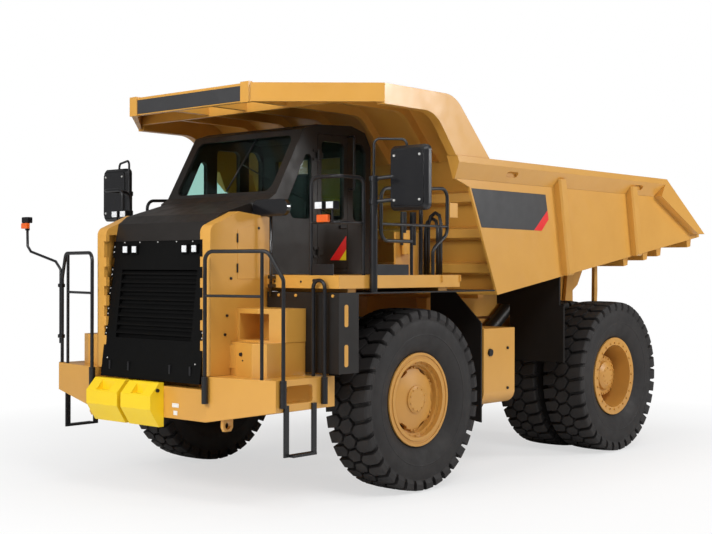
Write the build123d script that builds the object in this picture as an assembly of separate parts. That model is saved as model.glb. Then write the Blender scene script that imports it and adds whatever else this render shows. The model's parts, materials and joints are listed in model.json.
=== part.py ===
from build123d import *
import math
import os

# Rigid-frame mining dump truck, empty, bed down. Millimetres.
# X points to the truck's left, -Y to the front, +Z up, and the ground is at Z 0.
# Stations along Y are measured from the front wheels' axle and shifted at the end,
# so that the origin lies on the ground under the middle of the truck.

# Overall
WHEELBASE = 3960
FRONT_AXLE_STATION = -2035
AXLE_HEIGHT = 965
PIECE_GAP = 0.3
RUN_GAP = 5
PIN_GAP = 0.05

# Tyres and rims
TYRE_RADIUS = 965
TYRE_WIDTH = 570
LUG_COUNT = 35
LUG_HEIGHT = 40
SIDE_FACETS = 20
RIM_SEAT_RADIUS = 430
RIM_FLANGE_RADIUS = 495
RIM_WIDTH = 410
RIM_WALL = 30
FLANGE_THICK = 20
FRONT_TYRE_X = 1600
REAR_TYRE_X = 1663
DUAL_SPACING = 680

# Front steering
KINGPIN_X = 1150
KINGPIN_RADIUS = 60
STRUT_RADIUS = 100
STRUT_BOTTOM = 1180
STRUT_TOP = 1720
SPINDLE_RADIUS = 60
STEER_ARM = 430
TIE_ROD_Z = 880
TIE_ROD_RADIUS = 35
TIE_PIN_RADIUS = 28

# Frame
RAIL_INNER_X = 400
RAIL_OUTER_X = 560
RAIL_BOTTOM = 1010
RAIL_FRONT_TOP = 1300
RAIL_REAR_TOP = 1700
RAIL_REAR_BOTTOM = 1340
RAIL_FRONT_Y = -1985
BED_PIVOT_Y = WHEELBASE + 890
BED_PIVOT_Z = 1620
BED_PIN_RADIUS = 60
PIVOT_HEAD_RADIUS = 130

# Rear axle
AXLE_TUBE_RADIUS = 180
DIFF_RADIUS = 300
BRAKE_RADIUS = 330
BRAKE_INNER_X = 640
BRAKE_OUTER_X = 1100
REAR_SPINDLE_RADIUS = 110
REAR_SPINDLE_END = 1560
SHAFT_Z = 1150
GEARBOX_REAR_Y = 1560
PINION_Y = WHEELBASE - 400
SHAFT_RADIUS = 55

# Front bumper, hood and grille
BUMPER_FRONT_Y = -2176
BUMPER_CENTRE_X = 880
BUMPER_BOTTOM = 845
BUMPER_TOP = 1160
BUMPER_WALL = 40
POCKET = (-1910, -1550, 1060, 1230)
POCKET_DEPTH = 100
WING_TOP = 1290
WING_CORNER_X = 1720
WING_CORNER_Y = -2050
WING_REAR_Y = -1235
TOW_X = 1047
TOW_Y = -2050
TOW_Z = 818
TOW_RADIUS = 36
TOW_PLATE = 40
HOOD_X = 900
GRILLE_X = 750
HOOD_REAR_Y = -1330
GRILLE_FOOT = (-2177, 1208)
GRILLE_HEAD = (-2002, 2630)
GRILLE_THICK = 40
GRILLE_WINDOW_X = 600
GRILLE_WINDOW = (1620, 2330)
GRILLE_TABS = ((1208, 1535), (1633, 1737), (1835, 1945), (2057, 2155), (2250, 2360), (2460, 2630))
TAB_REACH = 36
LOUVRE_PITCH = 88
LAMP_SIZE = 66
LAMP_DEPTH = 30
LAMP_PLACES = (400, 550)
HOOD_WALL = 40

# Decks and cab
DECK_TOP = 2280
DECK_BOTTOM = 2150
DECK_X = 1900
DECK_FRONT_Y = -1370
DECK_REAR_Y = 580
FENDER_Z = 2095
CAB_X = 860
CAB_WALL = 60
CAB_FRONT_Y = -1300
CAB_REAR_Y = 300
CAB_FLOOR = 2285
DOOR_FRONT_Y = -570
DOOR_REAR_Y = -95
DOOR_BOTTOM = 2345
DOOR_TOP = 3790
GLASS_FOOT = DOOR_BOTTOM + 530
WINDOW_CORNER = 55
DOOR_HINGE_X = CAB_X + 18
DOOR_HINGE_Y = DOOR_FRONT_Y - 2.5
DOOR_HINGES = (2520, 3560)
HINGE_PIN_RADIUS = 8
HINGE_KNUCKLE_RADIUS = 15
GLASS_THICK = 8
RAIL_TUBE = 19
RAIL_POST_TUBE = 17
RAIL_CROSS_TUBE = 14
SOCKET_RADIUS = 32
HOOP_INNER_X = 1600
HOOP_TOP = 2230
MIRROR_POST = 38

# Bed
BED_SIDE_X = 1845
BED_WALL = 30
BED_FLOOR = 40
BED_RAIL_X = 1960
BED_RAIL_TOP = 3570
BED_FOLD = 3330
BED_FRONT_Y = 1370
BED_FRONT_Z = 2050
BED_TIP_Y = 6400
BED_TIP_Z = 2810
BED_TAIL_Y = 5200
CANOPY_TOP = 4213
CANOPY_BOTTOM = 4023
CANOPY_FRONT_Y = -1660
CANOPY_FRONT_X = 935
CANOPY_X = 1950
CANOPY_SIDE_Y = -750
CANOPY_EDGE = 30
CANOPY_SHEET = 30
ROOF_BEND_Y = 250
ROOF_BEND_RADIUS = 410
ROOF_SLOPE = 45
ARCH_BEND_Y = -100
ARCH_BEND_RADIUS = 380
ARCH_SLOPE = 50
NOSE_Y = 450
RAIL_SLOTS = (1566, 4505)
BED_RAIL_BOTTOM = RAIL_REAR_TOP + 30
BOLSTER_DEPTH = 115
BOLSTER_SHORT_X = 1300
BOLSTER_SLACK = 0.3
LUG_PLATE = 25
PIVOT_PLATE = 50
FLOOR_SLOPE = (BED_TIP_Z - BED_FRONT_Z) / (BED_TIP_Y - BED_FRONT_Y)

# Hoist cylinders
HOIST_X = 660
HOIST_BASE = (WHEELBASE - 1810, 1050)
HOIST_EYE = (WHEELBASE - 360, 2050)
BARREL_RADIUS = 88
ROD_RADIUS = 50
EYE_RADIUS = 85
EYE_WIDTH = 110


def box(x0, x1, y0, y1, z0, z1):
    """A block between two opposite corners."""
    middle = Pos((x0 + x1) / 2, (y0 + y1) / 2, (z0 + z1) / 2)
    return middle * Box(abs(x1 - x0), abs(y1 - y0), abs(z1 - z0))


def along_x(outline, x0, x1):
    """An outline of (y, z) points, or a closed curve in that plane, run from x0 to x1."""
    if isinstance(outline, list):
        outline = Plane.YZ * Polyline(*outline, close=True)
    face = Pos(x0, 0, 0) * make_face(outline)
    return extrude(face, amount=x1 - x0, dir=(1, 0, 0))


def along_y(outline, y0, y1):
    """An outline of (x, z) points run from y0 to y1."""
    curve = Plane((0, y0, 0), x_dir=(1, 0, 0), z_dir=(0, -1, 0)) * Polyline(*outline, close=True)
    return extrude(make_face(curve), amount=y1 - y0, dir=(0, 1, 0))


def along_z(outline, z0, z1):
    """An outline of (x, y) points run from z0 to z1."""
    curve = Pos(0, 0, z0) * Polyline(*outline, close=True)
    return extrude(make_face(curve), amount=z1 - z0, dir=(0, 0, 1))


def tube(points, radius, bend=60):
    """A round bar through the points, with bent corners."""
    if len(points) == 2:
        path = Line(*points)
    else:
        path = FilletPolyline(*points, radius=bend)
    return sweep((path ^ 0) * Circle(radius), path=path)


def pin_x(x0, x1, y, z, radius):
    """A round bar along X."""
    return Pos((x0 + x1) / 2, y, z) * Rot(0, 90, 0) * Cylinder(radius, abs(x1 - x0))


def pin_y(x, y0, y1, z, radius):
    """A round bar along Y."""
    return Pos(x, (y0 + y1) / 2, z) * Rot(90, 0, 0) * Cylinder(radius, abs(y1 - y0))


def pin_z(x, y, z0, z1, radius):
    """A round bar along Z."""
    return Pos(x, y, (z0 + z1) / 2) * Cylinder(radius, abs(z1 - z0))


def turned_x(outline, y, z):
    """An outline of (x, radius) points turned about an X axis through (y, z)."""
    curve = Plane.XZ * Polyline(*outline, close=True)
    return Pos(0, y, z) * revolve(make_face(curve), axis=Axis.X)


def window_x(y0, y1, z0, z1, corner, x0, x1):
    """A block between two corners with its four lengthwise edges rounded."""
    face = Plane.YZ * Pos((y0 + y1) / 2, (z0 + z1) / 2) * RectangleRounded(y1 - y0, z1 - z0, corner)
    return extrude(Pos(x0, 0, 0) * face, amount=x1 - x0, dir=(1, 0, 0))


def rounded(points, corner):
    """A closed (y, z) outline with its corners rounded."""
    return Plane.YZ * FilletPolyline(*points, radius=corner, close=True)


def mirrored(solid):
    """The same piece on the truck's other side."""
    return mirror(solid, about=Plane.YZ)


def both(solid):
    """A piece and its mirror image."""
    return solid + mirrored(solid)


# Wheels

def ring_points(count, x, radius):
    """Corners of a regular polygon in a plane across the axle."""
    turns = [2 * math.pi * step / count for step in range(count)]
    return [(x, radius * math.sin(turn), radius * math.cos(turn)) for turn in turns]


def lug_points(x):
    """Corners of the tread's toothed outline in a plane across the axle."""
    pitch = 2 * math.pi / LUG_COUNT
    root = TYRE_RADIUS - LUG_HEIGHT
    points = []
    for lug in range(LUG_COUNT):
        for share, radius in ((-0.35, root), (-0.27, TYRE_RADIUS), (0.27, TYRE_RADIUS), (0.35, root)):
            turn = pitch * (lug + share)
            points.append((x, radius * math.sin(turn), radius * math.cos(turn)))
    return points


def band(start, end):
    """Flat faces between two outlines with as many corners each."""
    faces = []
    for step in range(len(start)):
        after = (step + 1) % len(start)
        corners = (start[step], start[after], end[after], end[step])
        faces.append(make_face(Polyline(*corners, close=True)))
    return faces


def tyre(centre_x, y):
    """A tyre with its lugs as one toothed ring, its beads seated between the rim's flanges."""
    half = TYRE_WIDTH / 2
    seat = RIM_WIDTH / 2 - FLANGE_THICK - PIECE_GAP
    flat = math.cos(math.pi / SIDE_FACETS)
    bead = (RIM_SEAT_RADIUS + PIECE_GAP) / flat
    tread = half - 22
    side = [(tread, TYRE_RADIUS - 110), (half, TYRE_RADIUS - 225), (half - 30, TYRE_RADIUS - 365),
            (seat, RIM_FLANGE_RADIUS + 17), (seat, bead)]
    faces = band(lug_points(-tread), lug_points(tread))
    for way in (-1, 1):
        rings = [ring_points(SIDE_FACETS, way * x, radius) for x, radius in side]
        faces.append(Face(Wire(Polyline(*lug_points(way * tread), close=True).edges()),
                          [Wire(Polyline(*rings[0], close=True).edges())]))
        for inner, outer in zip(rings[1:], rings[:-1]):
            faces += band(outer, inner)
    faces += band(ring_points(SIDE_FACETS, -seat, bead), ring_points(SIDE_FACETS, seat, bead))
    return Pos(centre_x, y, AXLE_HEIGHT) * Solid(Shell(faces))


def rim_ring(centre_x):
    """The (x, radius) outline of a rim: a barrel with a flange at each edge."""
    half = RIM_WIDTH / 2
    seat = half - FLANGE_THICK
    inner = RIM_SEAT_RADIUS - RIM_WALL
    outline = [(-half, inner), (half, inner), (half, RIM_FLANGE_RADIUS), (seat, RIM_FLANGE_RADIUS),
               (seat, RIM_SEAT_RADIUS), (-seat, RIM_SEAT_RADIUS), (-seat, RIM_FLANGE_RADIUS),
               (-half, RIM_FLANGE_RADIUS)]
    return [(centre_x + x, r) for x, r in outline]


def front_wheel():
    """Rim with its rings, dished disc with hand holes, and the hub that turns on the spindle."""
    x = FRONT_TYRE_X
    half = RIM_WIDTH / 2
    inner = RIM_SEAT_RADIUS - RIM_WALL
    face = x + half
    disc_back = x + 70
    disc_front = x + 105
    wheel = turned_x(rim_ring(x), 0, AXLE_HEIGHT)
    wheel -= turned_x([(face - 9, inner + 38), (face + 1, inner + 38), (face + 1, inner + 66),
                       (face - 9, inner + 66)], 0, AXLE_HEIGHT)
    wheel += turned_x([(disc_back, 0), (disc_front + 75, 0), (disc_front + 75, 120),
                       (disc_front + 62, 145), (disc_front + 48, 145), (disc_front + 12, 322),
                       (disc_front - 12, 332), (disc_front - 12, inner - 38),
                       (disc_front + 45, inner - 38), (disc_front + 45, inner + 5),
                       (disc_back + 10, inner + 5), (disc_back, 330)], 0, AXLE_HEIGHT)
    wheel += turned_x([(x - 175, SPINDLE_RADIUS + PIN_GAP), (disc_back, SPINDLE_RADIUS + PIN_GAP),
                       (disc_back, 190), (x - 100, 150), (x - 175, 150)], 0, AXLE_HEIGHT)
    slot = Plane.YZ * Pos(0, 322) * SlotOverall(120, 46)
    for turn in range(6):
        hole = Pos(disc_back - 20, 0, 0) * extrude(slot, amount=160, dir=(1, 0, 0))
        wheel -= Pos(0, 0, AXLE_HEIGHT) * Rot(turn * 60 + 30, 0, 0) * hole
    return wheel


def rear_wheel():
    """Two rims on one drum, with the deep dish and the round planetary hub."""
    y = WHEELBASE
    inner = RIM_SEAT_RADIUS - RIM_WALL
    outer_x = REAR_TYRE_X
    inner_x = REAR_TYRE_X - DUAL_SPACING
    bore = REAR_SPINDLE_RADIUS + PIN_GAP
    wheel = turned_x(rim_ring(outer_x), y, AXLE_HEIGHT)
    wheel += turned_x(rim_ring(inner_x), y, AXLE_HEIGHT)
    wheel += turned_x([(inner_x + RIM_WIDTH / 2, inner), (outer_x - RIM_WIDTH / 2, inner),
                       (outer_x - RIM_WIDTH / 2, RIM_SEAT_RADIUS),
                       (inner_x + RIM_WIDTH / 2, RIM_SEAT_RADIUS)], y, AXLE_HEIGHT)
    drum_back = BRAKE_OUTER_X + RUN_GAP
    cap = outer_x + 105
    wheel += turned_x([(drum_back, bore), (REAR_SPINDLE_END + RUN_GAP, bore),
                       (REAR_SPINDLE_END + RUN_GAP, 0), (cap, 0), (cap, 120), (cap - 25, 175),
                       (cap - 60, 190), (cap - 60, 250), (cap - 100, 262), (outer_x - 110, 262),
                       (outer_x - 150, inner), (outer_x - 190, inner), (outer_x - 190, 300),
                       (drum_back, 280)], y, AXLE_HEIGHT)
    return wheel


# Steering

def knuckle():
    """Kingpin, spindle and steering arm, one piece."""
    top = STRUT_BOTTOM - RUN_GAP
    arm_top = TIE_ROD_Z + TIE_ROD_RADIUS + 45
    arm_bottom = TIE_ROD_Z + TIE_ROD_RADIUS + 20
    piece = pin_z(KINGPIN_X, 0, 860, top, STRUT_RADIUS)
    piece += pin_z(KINGPIN_X, 0, top, STRUT_BOTTOM + 160, KINGPIN_RADIUS)
    shoulder = FRONT_TYRE_X - 180
    piece += turned_x([(KINGPIN_X, 0), (FRONT_TYRE_X + 60, 0), (FRONT_TYRE_X + 60, SPINDLE_RADIUS),
                       (shoulder, SPINDLE_RADIUS), (shoulder, 95), (KINGPIN_X, 100)],
                      0, AXLE_HEIGHT)
    piece += box(KINGPIN_X - 45, KINGPIN_X + 45, 60, STEER_ARM, arm_bottom, arm_top)
    piece += pin_z(KINGPIN_X, STEER_ARM, arm_bottom, arm_top, 45)
    piece += pin_z(KINGPIN_X, STEER_ARM, TIE_ROD_Z - TIE_ROD_RADIUS - 15, arm_top, TIE_PIN_RADIUS)
    return piece


def tie_rod():
    """The bar between the steering arms, its left eye a running fit, its right eye loose."""
    eye_top = TIE_ROD_Z + TIE_ROD_RADIUS + 10
    eye_bottom = TIE_ROD_Z - TIE_ROD_RADIUS - 5
    rod = pin_x(-KINGPIN_X + 60, KINGPIN_X - 60, STEER_ARM, TIE_ROD_Z, TIE_ROD_RADIUS)
    for side, gap in ((1, PIN_GAP), (-1, 3)):
        rod += pin_z(side * KINGPIN_X, STEER_ARM, eye_bottom, eye_top, 65)
        rod -= pin_z(side * KINGPIN_X, STEER_ARM, eye_bottom - 1, eye_top + 1, TIE_PIN_RADIUS + gap)
    return rod


def front_struts():
    """The upright suspension struts that the kingpins turn in."""
    strut = pin_z(KINGPIN_X, 0, STRUT_BOTTOM, STRUT_TOP, STRUT_RADIUS)
    strut -= pin_z(KINGPIN_X, 0, STRUT_BOTTOM - 1, STRUT_BOTTOM + 200, KINGPIN_RADIUS + PIN_GAP)
    strut += pin_z(KINGPIN_X, 0, STRUT_TOP, STRUT_TOP + 70, 70)
    return both(strut)


# Frame and driveline

def main_frame():
    """Two box rails with cross members, strut brackets, deck posts and the bed's pivot heads."""
    outline = [(RAIL_FRONT_Y, RAIL_BOTTOM), (RAIL_FRONT_Y, RAIL_FRONT_TOP), (600, RAIL_FRONT_TOP),
               (1500, RAIL_REAR_TOP), (BED_PIVOT_Y - 250, RAIL_REAR_TOP),
               (BED_PIVOT_Y, BED_PIVOT_Z + 60), (BED_PIVOT_Y, BED_PIVOT_Z - 110),
               (BED_PIVOT_Y - 400, RAIL_REAR_BOTTOM), (WHEELBASE - 510, RAIL_REAR_BOTTOM),
               (WHEELBASE - 960, RAIL_BOTTOM)]
    rail = along_x(outline, RAIL_INNER_X, RAIL_OUTER_X)
    rail += pin_x(RAIL_INNER_X, RAIL_OUTER_X, BED_PIVOT_Y, BED_PIVOT_Z, PIVOT_HEAD_RADIUS)
    rail -= pin_x(RAIL_INNER_X - 1, RAIL_OUTER_X + 1, BED_PIVOT_Y, BED_PIVOT_Z,
                  BED_PIN_RADIUS + PIN_GAP)
    rail += box(RAIL_OUTER_X, KINGPIN_X - 70, -150, 150, 1250, 1640)
    rail -= pin_z(KINGPIN_X, 0, 1200, 1700, STRUT_RADIUS)
    for start, end in ((-1200, -1080), (250, 400)):
        rail += box(RAIL_INNER_X, RAIL_OUTER_X, start, end, RAIL_FRONT_TOP, FENDER_Z)
    rail += box(RAIL_OUTER_X, HOIST_X + 95, HOIST_BASE[0] + 100, HOIST_BASE[0] + 150, 1000, 1100)
    base_y, base_z = HOIST_BASE
    rail += pin_x(RAIL_OUTER_X, HOIST_X + 75, base_y, base_z, 40)
    frame = both(rail)
    frame -= both(box(RAIL_OUTER_X + 1, HOIST_X + 96, base_y + 99, base_y + 151, 999, 1101))
    cross = box(-RAIL_INNER_X, RAIL_INNER_X, -1960, -1900, 1020, 1290)
    cross += box(-RAIL_INNER_X, RAIL_INNER_X, 400, 560, 1020, 1290)
    cross += box(-RAIL_INNER_X, RAIL_INNER_X, 1700, 1820, 1020, 1400)
    middle = WHEELBASE - 1180
    cross += box(-RAIL_INNER_X, RAIL_INNER_X, middle, middle + 120, 1020, 1400)
    last = BED_PIVOT_Y - 430
    cross += box(-RAIL_INNER_X, RAIL_INNER_X, last, last + 140, 1400, 1640)
    cross -= pin_y(0, 300, middle + 200, SHAFT_Z, SHAFT_RADIUS + 35)
    return frame + cross


def engine():
    """The engine, one plain block at its place between the rails."""
    block = box(-360, 360, -1760, -300, 1060, 1900)
    return chamfer(block.edges().filter_by(Axis.Y), 60)


def drive_line():
    """The gearbox block behind the engine, and the shaft that runs on to the rear axle."""
    case = box(-330, 330, 700, GEARBOX_REAR_Y, 900, 1450)
    case = chamfer(case.edges().filter_by(Axis.Y), 70)
    case += pin_y(0, -300, 700, SHAFT_Z, SHAFT_RADIUS)
    start = GEARBOX_REAR_Y + PIECE_GAP
    shaft = pin_y(0, start, PINION_Y, SHAFT_Z, SHAFT_RADIUS)
    shaft += pin_y(0, start, start + 80, SHAFT_Z, SHAFT_RADIUS + 30)
    shaft += pin_y(0, PINION_Y - 80, PINION_Y, SHAFT_Z, SHAFT_RADIUS + 30)
    return case + shaft


def rear_axle():
    """Housing with the differential, brakes, wheel spindles and the forward A-frame."""
    half = [(0, 0), (REAR_SPINDLE_END, 0), (REAR_SPINDLE_END, REAR_SPINDLE_RADIUS),
            (BRAKE_OUTER_X, REAR_SPINDLE_RADIUS), (BRAKE_OUTER_X, BRAKE_RADIUS),
            (BRAKE_INNER_X, BRAKE_RADIUS), (BRAKE_INNER_X, AXLE_TUBE_RADIUS),
            (350, AXLE_TUBE_RADIUS), (250, 240), (120, DIFF_RADIUS), (0, DIFF_RADIUS)]
    axle = both(turned_x(half, WHEELBASE, AXLE_HEIGHT))
    axle += pin_y(0, PINION_Y + PIECE_GAP, WHEELBASE, SHAFT_Z, 95)
    tip = WHEELBASE - 1060
    arm = along_z([(60, tip), (190, tip), (330, WHEELBASE), (200, WHEELBASE)], 860, 1030)
    arm += box(0, 190, tip, tip + 90, 860, 1030)
    return axle + both(arm)


def rear_struts():
    """The short suspension struts between the rear axle and the rails."""
    x = RAIL_OUTER_X + 62
    y = WHEELBASE + 220
    strut = pin_z(x, y, 1120, 1560, 58)
    strut += pin_z(x, y, 1000, 1200, 42)
    strut += box(RAIL_OUTER_X, x, y - 40, y + 40, 1440, 1560)
    strut = strut - turned_x([(0, 0), (BRAKE_OUTER_X, 0), (BRAKE_OUTER_X, BRAKE_RADIUS),
                              (BRAKE_INNER_X, BRAKE_RADIUS), (BRAKE_INNER_X, AXLE_TUBE_RADIUS),
                              (0, AXLE_TUBE_RADIUS)], WHEELBASE, AXLE_HEIGHT)
    return both(strut)


def tank(x0, x1, y0, y1, z0, z1, corner):
    """A tank with a rounded outer bottom edge, on two arms from the rail."""
    body = box(x0, x1, y0, y1, z0, z1)
    edges = body.edges().filter_by(Axis.Y)
    body = fillet(edges.sort_by(Axis.Z)[:2], corner)
    for y in (y0 + 120, y1 - 120):
        body += box(RAIL_OUTER_X, x0, y - 40, y + 40, 1200, 1320)
    return body


# Front end

def wing_front(x):
    """Station of the swept wing's front face at a distance from the middle."""
    sweep = (WING_CORNER_Y - BUMPER_FRONT_Y) / (WING_CORNER_X - BUMPER_CENTRE_X)
    return BUMPER_FRONT_Y + sweep * (x - BUMPER_CENTRE_X)


def wing_inside(x):
    """Station of the swept wing's inner face at a distance from the middle."""
    sweep = WING_CORNER_Y - BUMPER_FRONT_Y
    sweep /= WING_CORNER_X - BUMPER_CENTRE_X - 2 * BUMPER_WALL
    return BUMPER_FRONT_Y + BUMPER_WALL + sweep * (x - BUMPER_CENTRE_X - BUMPER_WALL)


def front_bumper():
    """The bumper's centre, swept wings, side plates with step pockets, and tow plates."""
    wall = BUMPER_WALL
    top = along_z([(BUMPER_CENTRE_X, BUMPER_FRONT_Y), (WING_CORNER_X, WING_CORNER_Y),
                   (WING_CORNER_X, WING_REAR_Y), (BUMPER_CENTRE_X, WING_REAR_Y)],
                  BUMPER_BOTTOM, WING_TOP)
    hollow = along_z([(BUMPER_CENTRE_X + wall, BUMPER_FRONT_Y + wall),
                      (WING_CORNER_X - wall, WING_CORNER_Y + wall),
                      (WING_CORNER_X - wall, WING_REAR_Y - wall),
                      (BUMPER_CENTRE_X + wall, WING_REAR_Y - wall)],
                     BUMPER_BOTTOM - 1, WING_TOP - wall)
    rise = along_y([(BUMPER_CENTRE_X - 1, BUMPER_BOTTOM), (WING_CORNER_X + 1, BUMPER_BOTTOM + 145),
                    (WING_CORNER_X + 1, BUMPER_BOTTOM - 45), (BUMPER_CENTRE_X - 1, BUMPER_BOTTOM - 45)],
                   BUMPER_FRONT_Y - 100, WING_REAR_Y + 100)
    inside = WING_CORNER_X - wall
    start = WING_CORNER_Y + wall
    wing = top - hollow - rise
    wing -= box(inside - PIECE_GAP, WING_CORNER_X + 1, start - PIECE_GAP, WING_REAR_Y + 1,
                BUMPER_BOTTOM, WING_TOP + 1)
    side = box(inside, WING_CORNER_X, start, WING_REAR_Y, BUMPER_BOTTOM, WING_TOP) - rise
    side -= window_x(POCKET[0], POCKET[1], POCKET[2], POCKET[3], 30, inside - 1, WING_CORNER_X + 1)
    side += box(inside - POCKET_DEPTH, inside, POCKET[0], POCKET[1], POCKET[2] - 16, POCKET[2])
    reach = BUMPER_CENTRE_X - PIECE_GAP
    centre = box(-reach, reach, BUMPER_FRONT_Y, RAIL_FRONT_Y, BUMPER_BOTTOM, BUMPER_TOP)
    centre -= box(-reach + wall, reach - wall, BUMPER_FRONT_Y + wall, RAIL_FRONT_Y - wall,
                  BUMPER_BOTTOM - 1, BUMPER_TOP - wall)
    front = wing_inside(TOW_X + TOW_PLATE / 2) + PIECE_GAP
    tow = along_x([(front, TOW_Z + 200), (front, TOW_Z - 18), (front + 22, TOW_Z - 58),
                   (TOW_Y + 40, TOW_Z - 58), (TOW_Y + 65, TOW_Z - 18), (TOW_Y + 65, TOW_Z + 200)],
                  TOW_X - TOW_PLATE / 2, TOW_X + TOW_PLATE / 2)
    tow -= pin_x(TOW_X - TOW_PLATE, TOW_X + TOW_PLATE, TOW_Y, TOW_Z, TOW_RADIUS)
    return centre + both(wing + side + tow)


def bumper_blocks():
    """The two cast yellow blocks on the bumper, left as they sit, off the middle."""
    front = BUMPER_FRONT_Y - 175
    outline = [(BUMPER_FRONT_Y, 750), (BUMPER_FRONT_Y - 60, 750), (front, 930), (front, 1070),
               (BUMPER_FRONT_Y - 60, 1195), (BUMPER_FRONT_Y, 1195)]
    pieces = []
    for x0, x1 in ((-800, -285), (-225, 250)):
        block = along_x(outline, x0, x1)
        notch = box(x0 + 150, x1 - 150, front - 1, front + 100, 1080, 1200)
        pieces.append(block - notch)
    return pieces[0] + pieces[1]


def grille_y(z):
    """Station of the sloped grille's front face at a height."""
    lean = (GRILLE_HEAD[0] - GRILLE_FOOT[0]) / (GRILLE_HEAD[1] - GRILLE_FOOT[1])
    return GRILLE_FOOT[0] + lean * (z - GRILLE_FOOT[1])


def radiator_grille():
    """The sloped grille: tabbed frame, lamp panel, louvres in the window and the core behind."""
    low, high = GRILLE_FOOT[1], GRILLE_HEAD[1]
    outline = [(grille_y(low), low), (grille_y(low) + GRILLE_THICK, low),
               (grille_y(high) + GRILLE_THICK, high), (grille_y(high), high)]
    grille = along_x(outline, -GRILLE_X, GRILLE_X)
    for start, end in GRILLE_TABS:
        tab = [(grille_y(start), start), (grille_y(start) + GRILLE_THICK, start),
               (grille_y(end) + GRILLE_THICK, end), (grille_y(end), end)]
        grille += along_x(tab, -GRILLE_X - TAB_REACH, GRILLE_X + TAB_REACH)
    foot, head = GRILLE_WINDOW
    grille -= box(-GRILLE_WINDOW_X, GRILLE_WINDOW_X, grille_y(foot) - 100, grille_y(head) + 100,
                  foot, head)
    for step in range(int((head - foot) / LOUVRE_PITCH)):
        z = foot + LOUVRE_PITCH * (step + 0.5)
        y = grille_y(z)
        grille += along_x([(y + 3, z), (y + 3, z + 12), (y + GRILLE_THICK, z + 46),
                           (y + GRILLE_THICK, z + 34)], -GRILLE_WINDOW_X, GRILLE_WINDOW_X)
    low, high = low + 112, high - 70
    core = along_x([(grille_y(low) + GRILLE_THICK, low), (-1960, low), (-1860, high),
                    (grille_y(high) + GRILLE_THICK, high)], -GRILLE_X + 60, GRILLE_X - 60)
    return grille + core


def hood_sides():
    """The yellow hood sides with rounded front corners, notched for the grille's tabs."""
    outline = [(-2133, 1292), (-2137, 2755), (-1757, 2916), (HOOD_REAR_Y, 2870),
               (HOOD_REAR_Y, 1292)]
    side = along_x(outline, GRILLE_X + PIECE_GAP, HOOD_X)
    corner = side.edges().filter_by(Axis.Z, 5).sort_by(Axis.Y)[:2].sort_by(Axis.X)[-1:]
    side = fillet(corner, 90)
    side -= box(GRILLE_X, HOOD_X - HOOD_WALL, -2093, HOOD_REAR_Y + 1, 1250, 2700)
    for start, end in GRILLE_TABS:
        side -= box(GRILLE_X, GRILLE_X + TAB_REACH + PIECE_GAP, -2300,
                    grille_y(end) + GRILLE_THICK + PIECE_GAP, start - PIECE_GAP, end + PIECE_GAP)
    return both(side)


def hood_top():
    """The black hood top from the grille up to the windshield."""
    outline = [(-2010, 2630), (-1975, 2815), (-1860, 2900), (CAB_FRONT_Y, 3060),
               (CAB_FRONT_Y, 2630)]
    inner = [(-1960, 2629), (-1935, 2790), (-1840, 2860), (CAB_FRONT_Y + 1, 3020),
             (CAB_FRONT_Y + 1, 2629)]
    top = along_x(outline, -GRILLE_X, GRILLE_X)
    return top - along_x(inner, -GRILLE_X + HOOD_WALL, GRILLE_X - HOOD_WALL)


def step_boxes():
    """The two stacked boxes that step up from the bumper to the deck, each side."""
    low = along_z([(HOOD_X, -1860), (1300, -1960), (1450, -1900), (1450, DECK_FRONT_Y),
                   (HOOD_X, DECK_FRONT_Y)], WING_TOP, 1620)
    high = along_z([(HOOD_X, -1780), (1200, -1780), (1457, -1650), (1457, DECK_FRONT_Y),
                    (HOOD_X, DECK_FRONT_Y)], 1620, 1950)
    high -= box(HOOD_X + 40, 1300, -1800, -1500, 1640, 1900)
    return both(low + high)


def fenders():
    """The black panels ahead of and over the front wheels, and the flap behind them."""
    front = box(HOOD_X + 10, DECK_X, DECK_FRONT_Y, DECK_FRONT_Y + 20, WING_TOP + 30, FENDER_Z)
    side = box(DECK_X - 20, DECK_X, DECK_FRONT_Y + 20, -1080, WING_TOP + 30, FENDER_Z)
    for z0, z1 in ((1386, 1603), (1776, 1993)):
        side -= window_x(-1290, -1235, z0, z1, 20, DECK_X - 21, DECK_X + 1)
    top = box(HOOD_X + 10, DECK_X, DECK_FRONT_Y, 1240, FENDER_Z, FENDER_Z + 15)
    rear = along_y([(980, FENDER_Z), (1320, FENDER_Z), (1710, 1730), (1710, 600), (980, 700)],
                   1240, 1260)
    rear += box(980, DECK_X - 100, 1180, 1260, FENDER_Z, FENDER_Z + 15)
    return both(front + side + top + rear)


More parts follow.
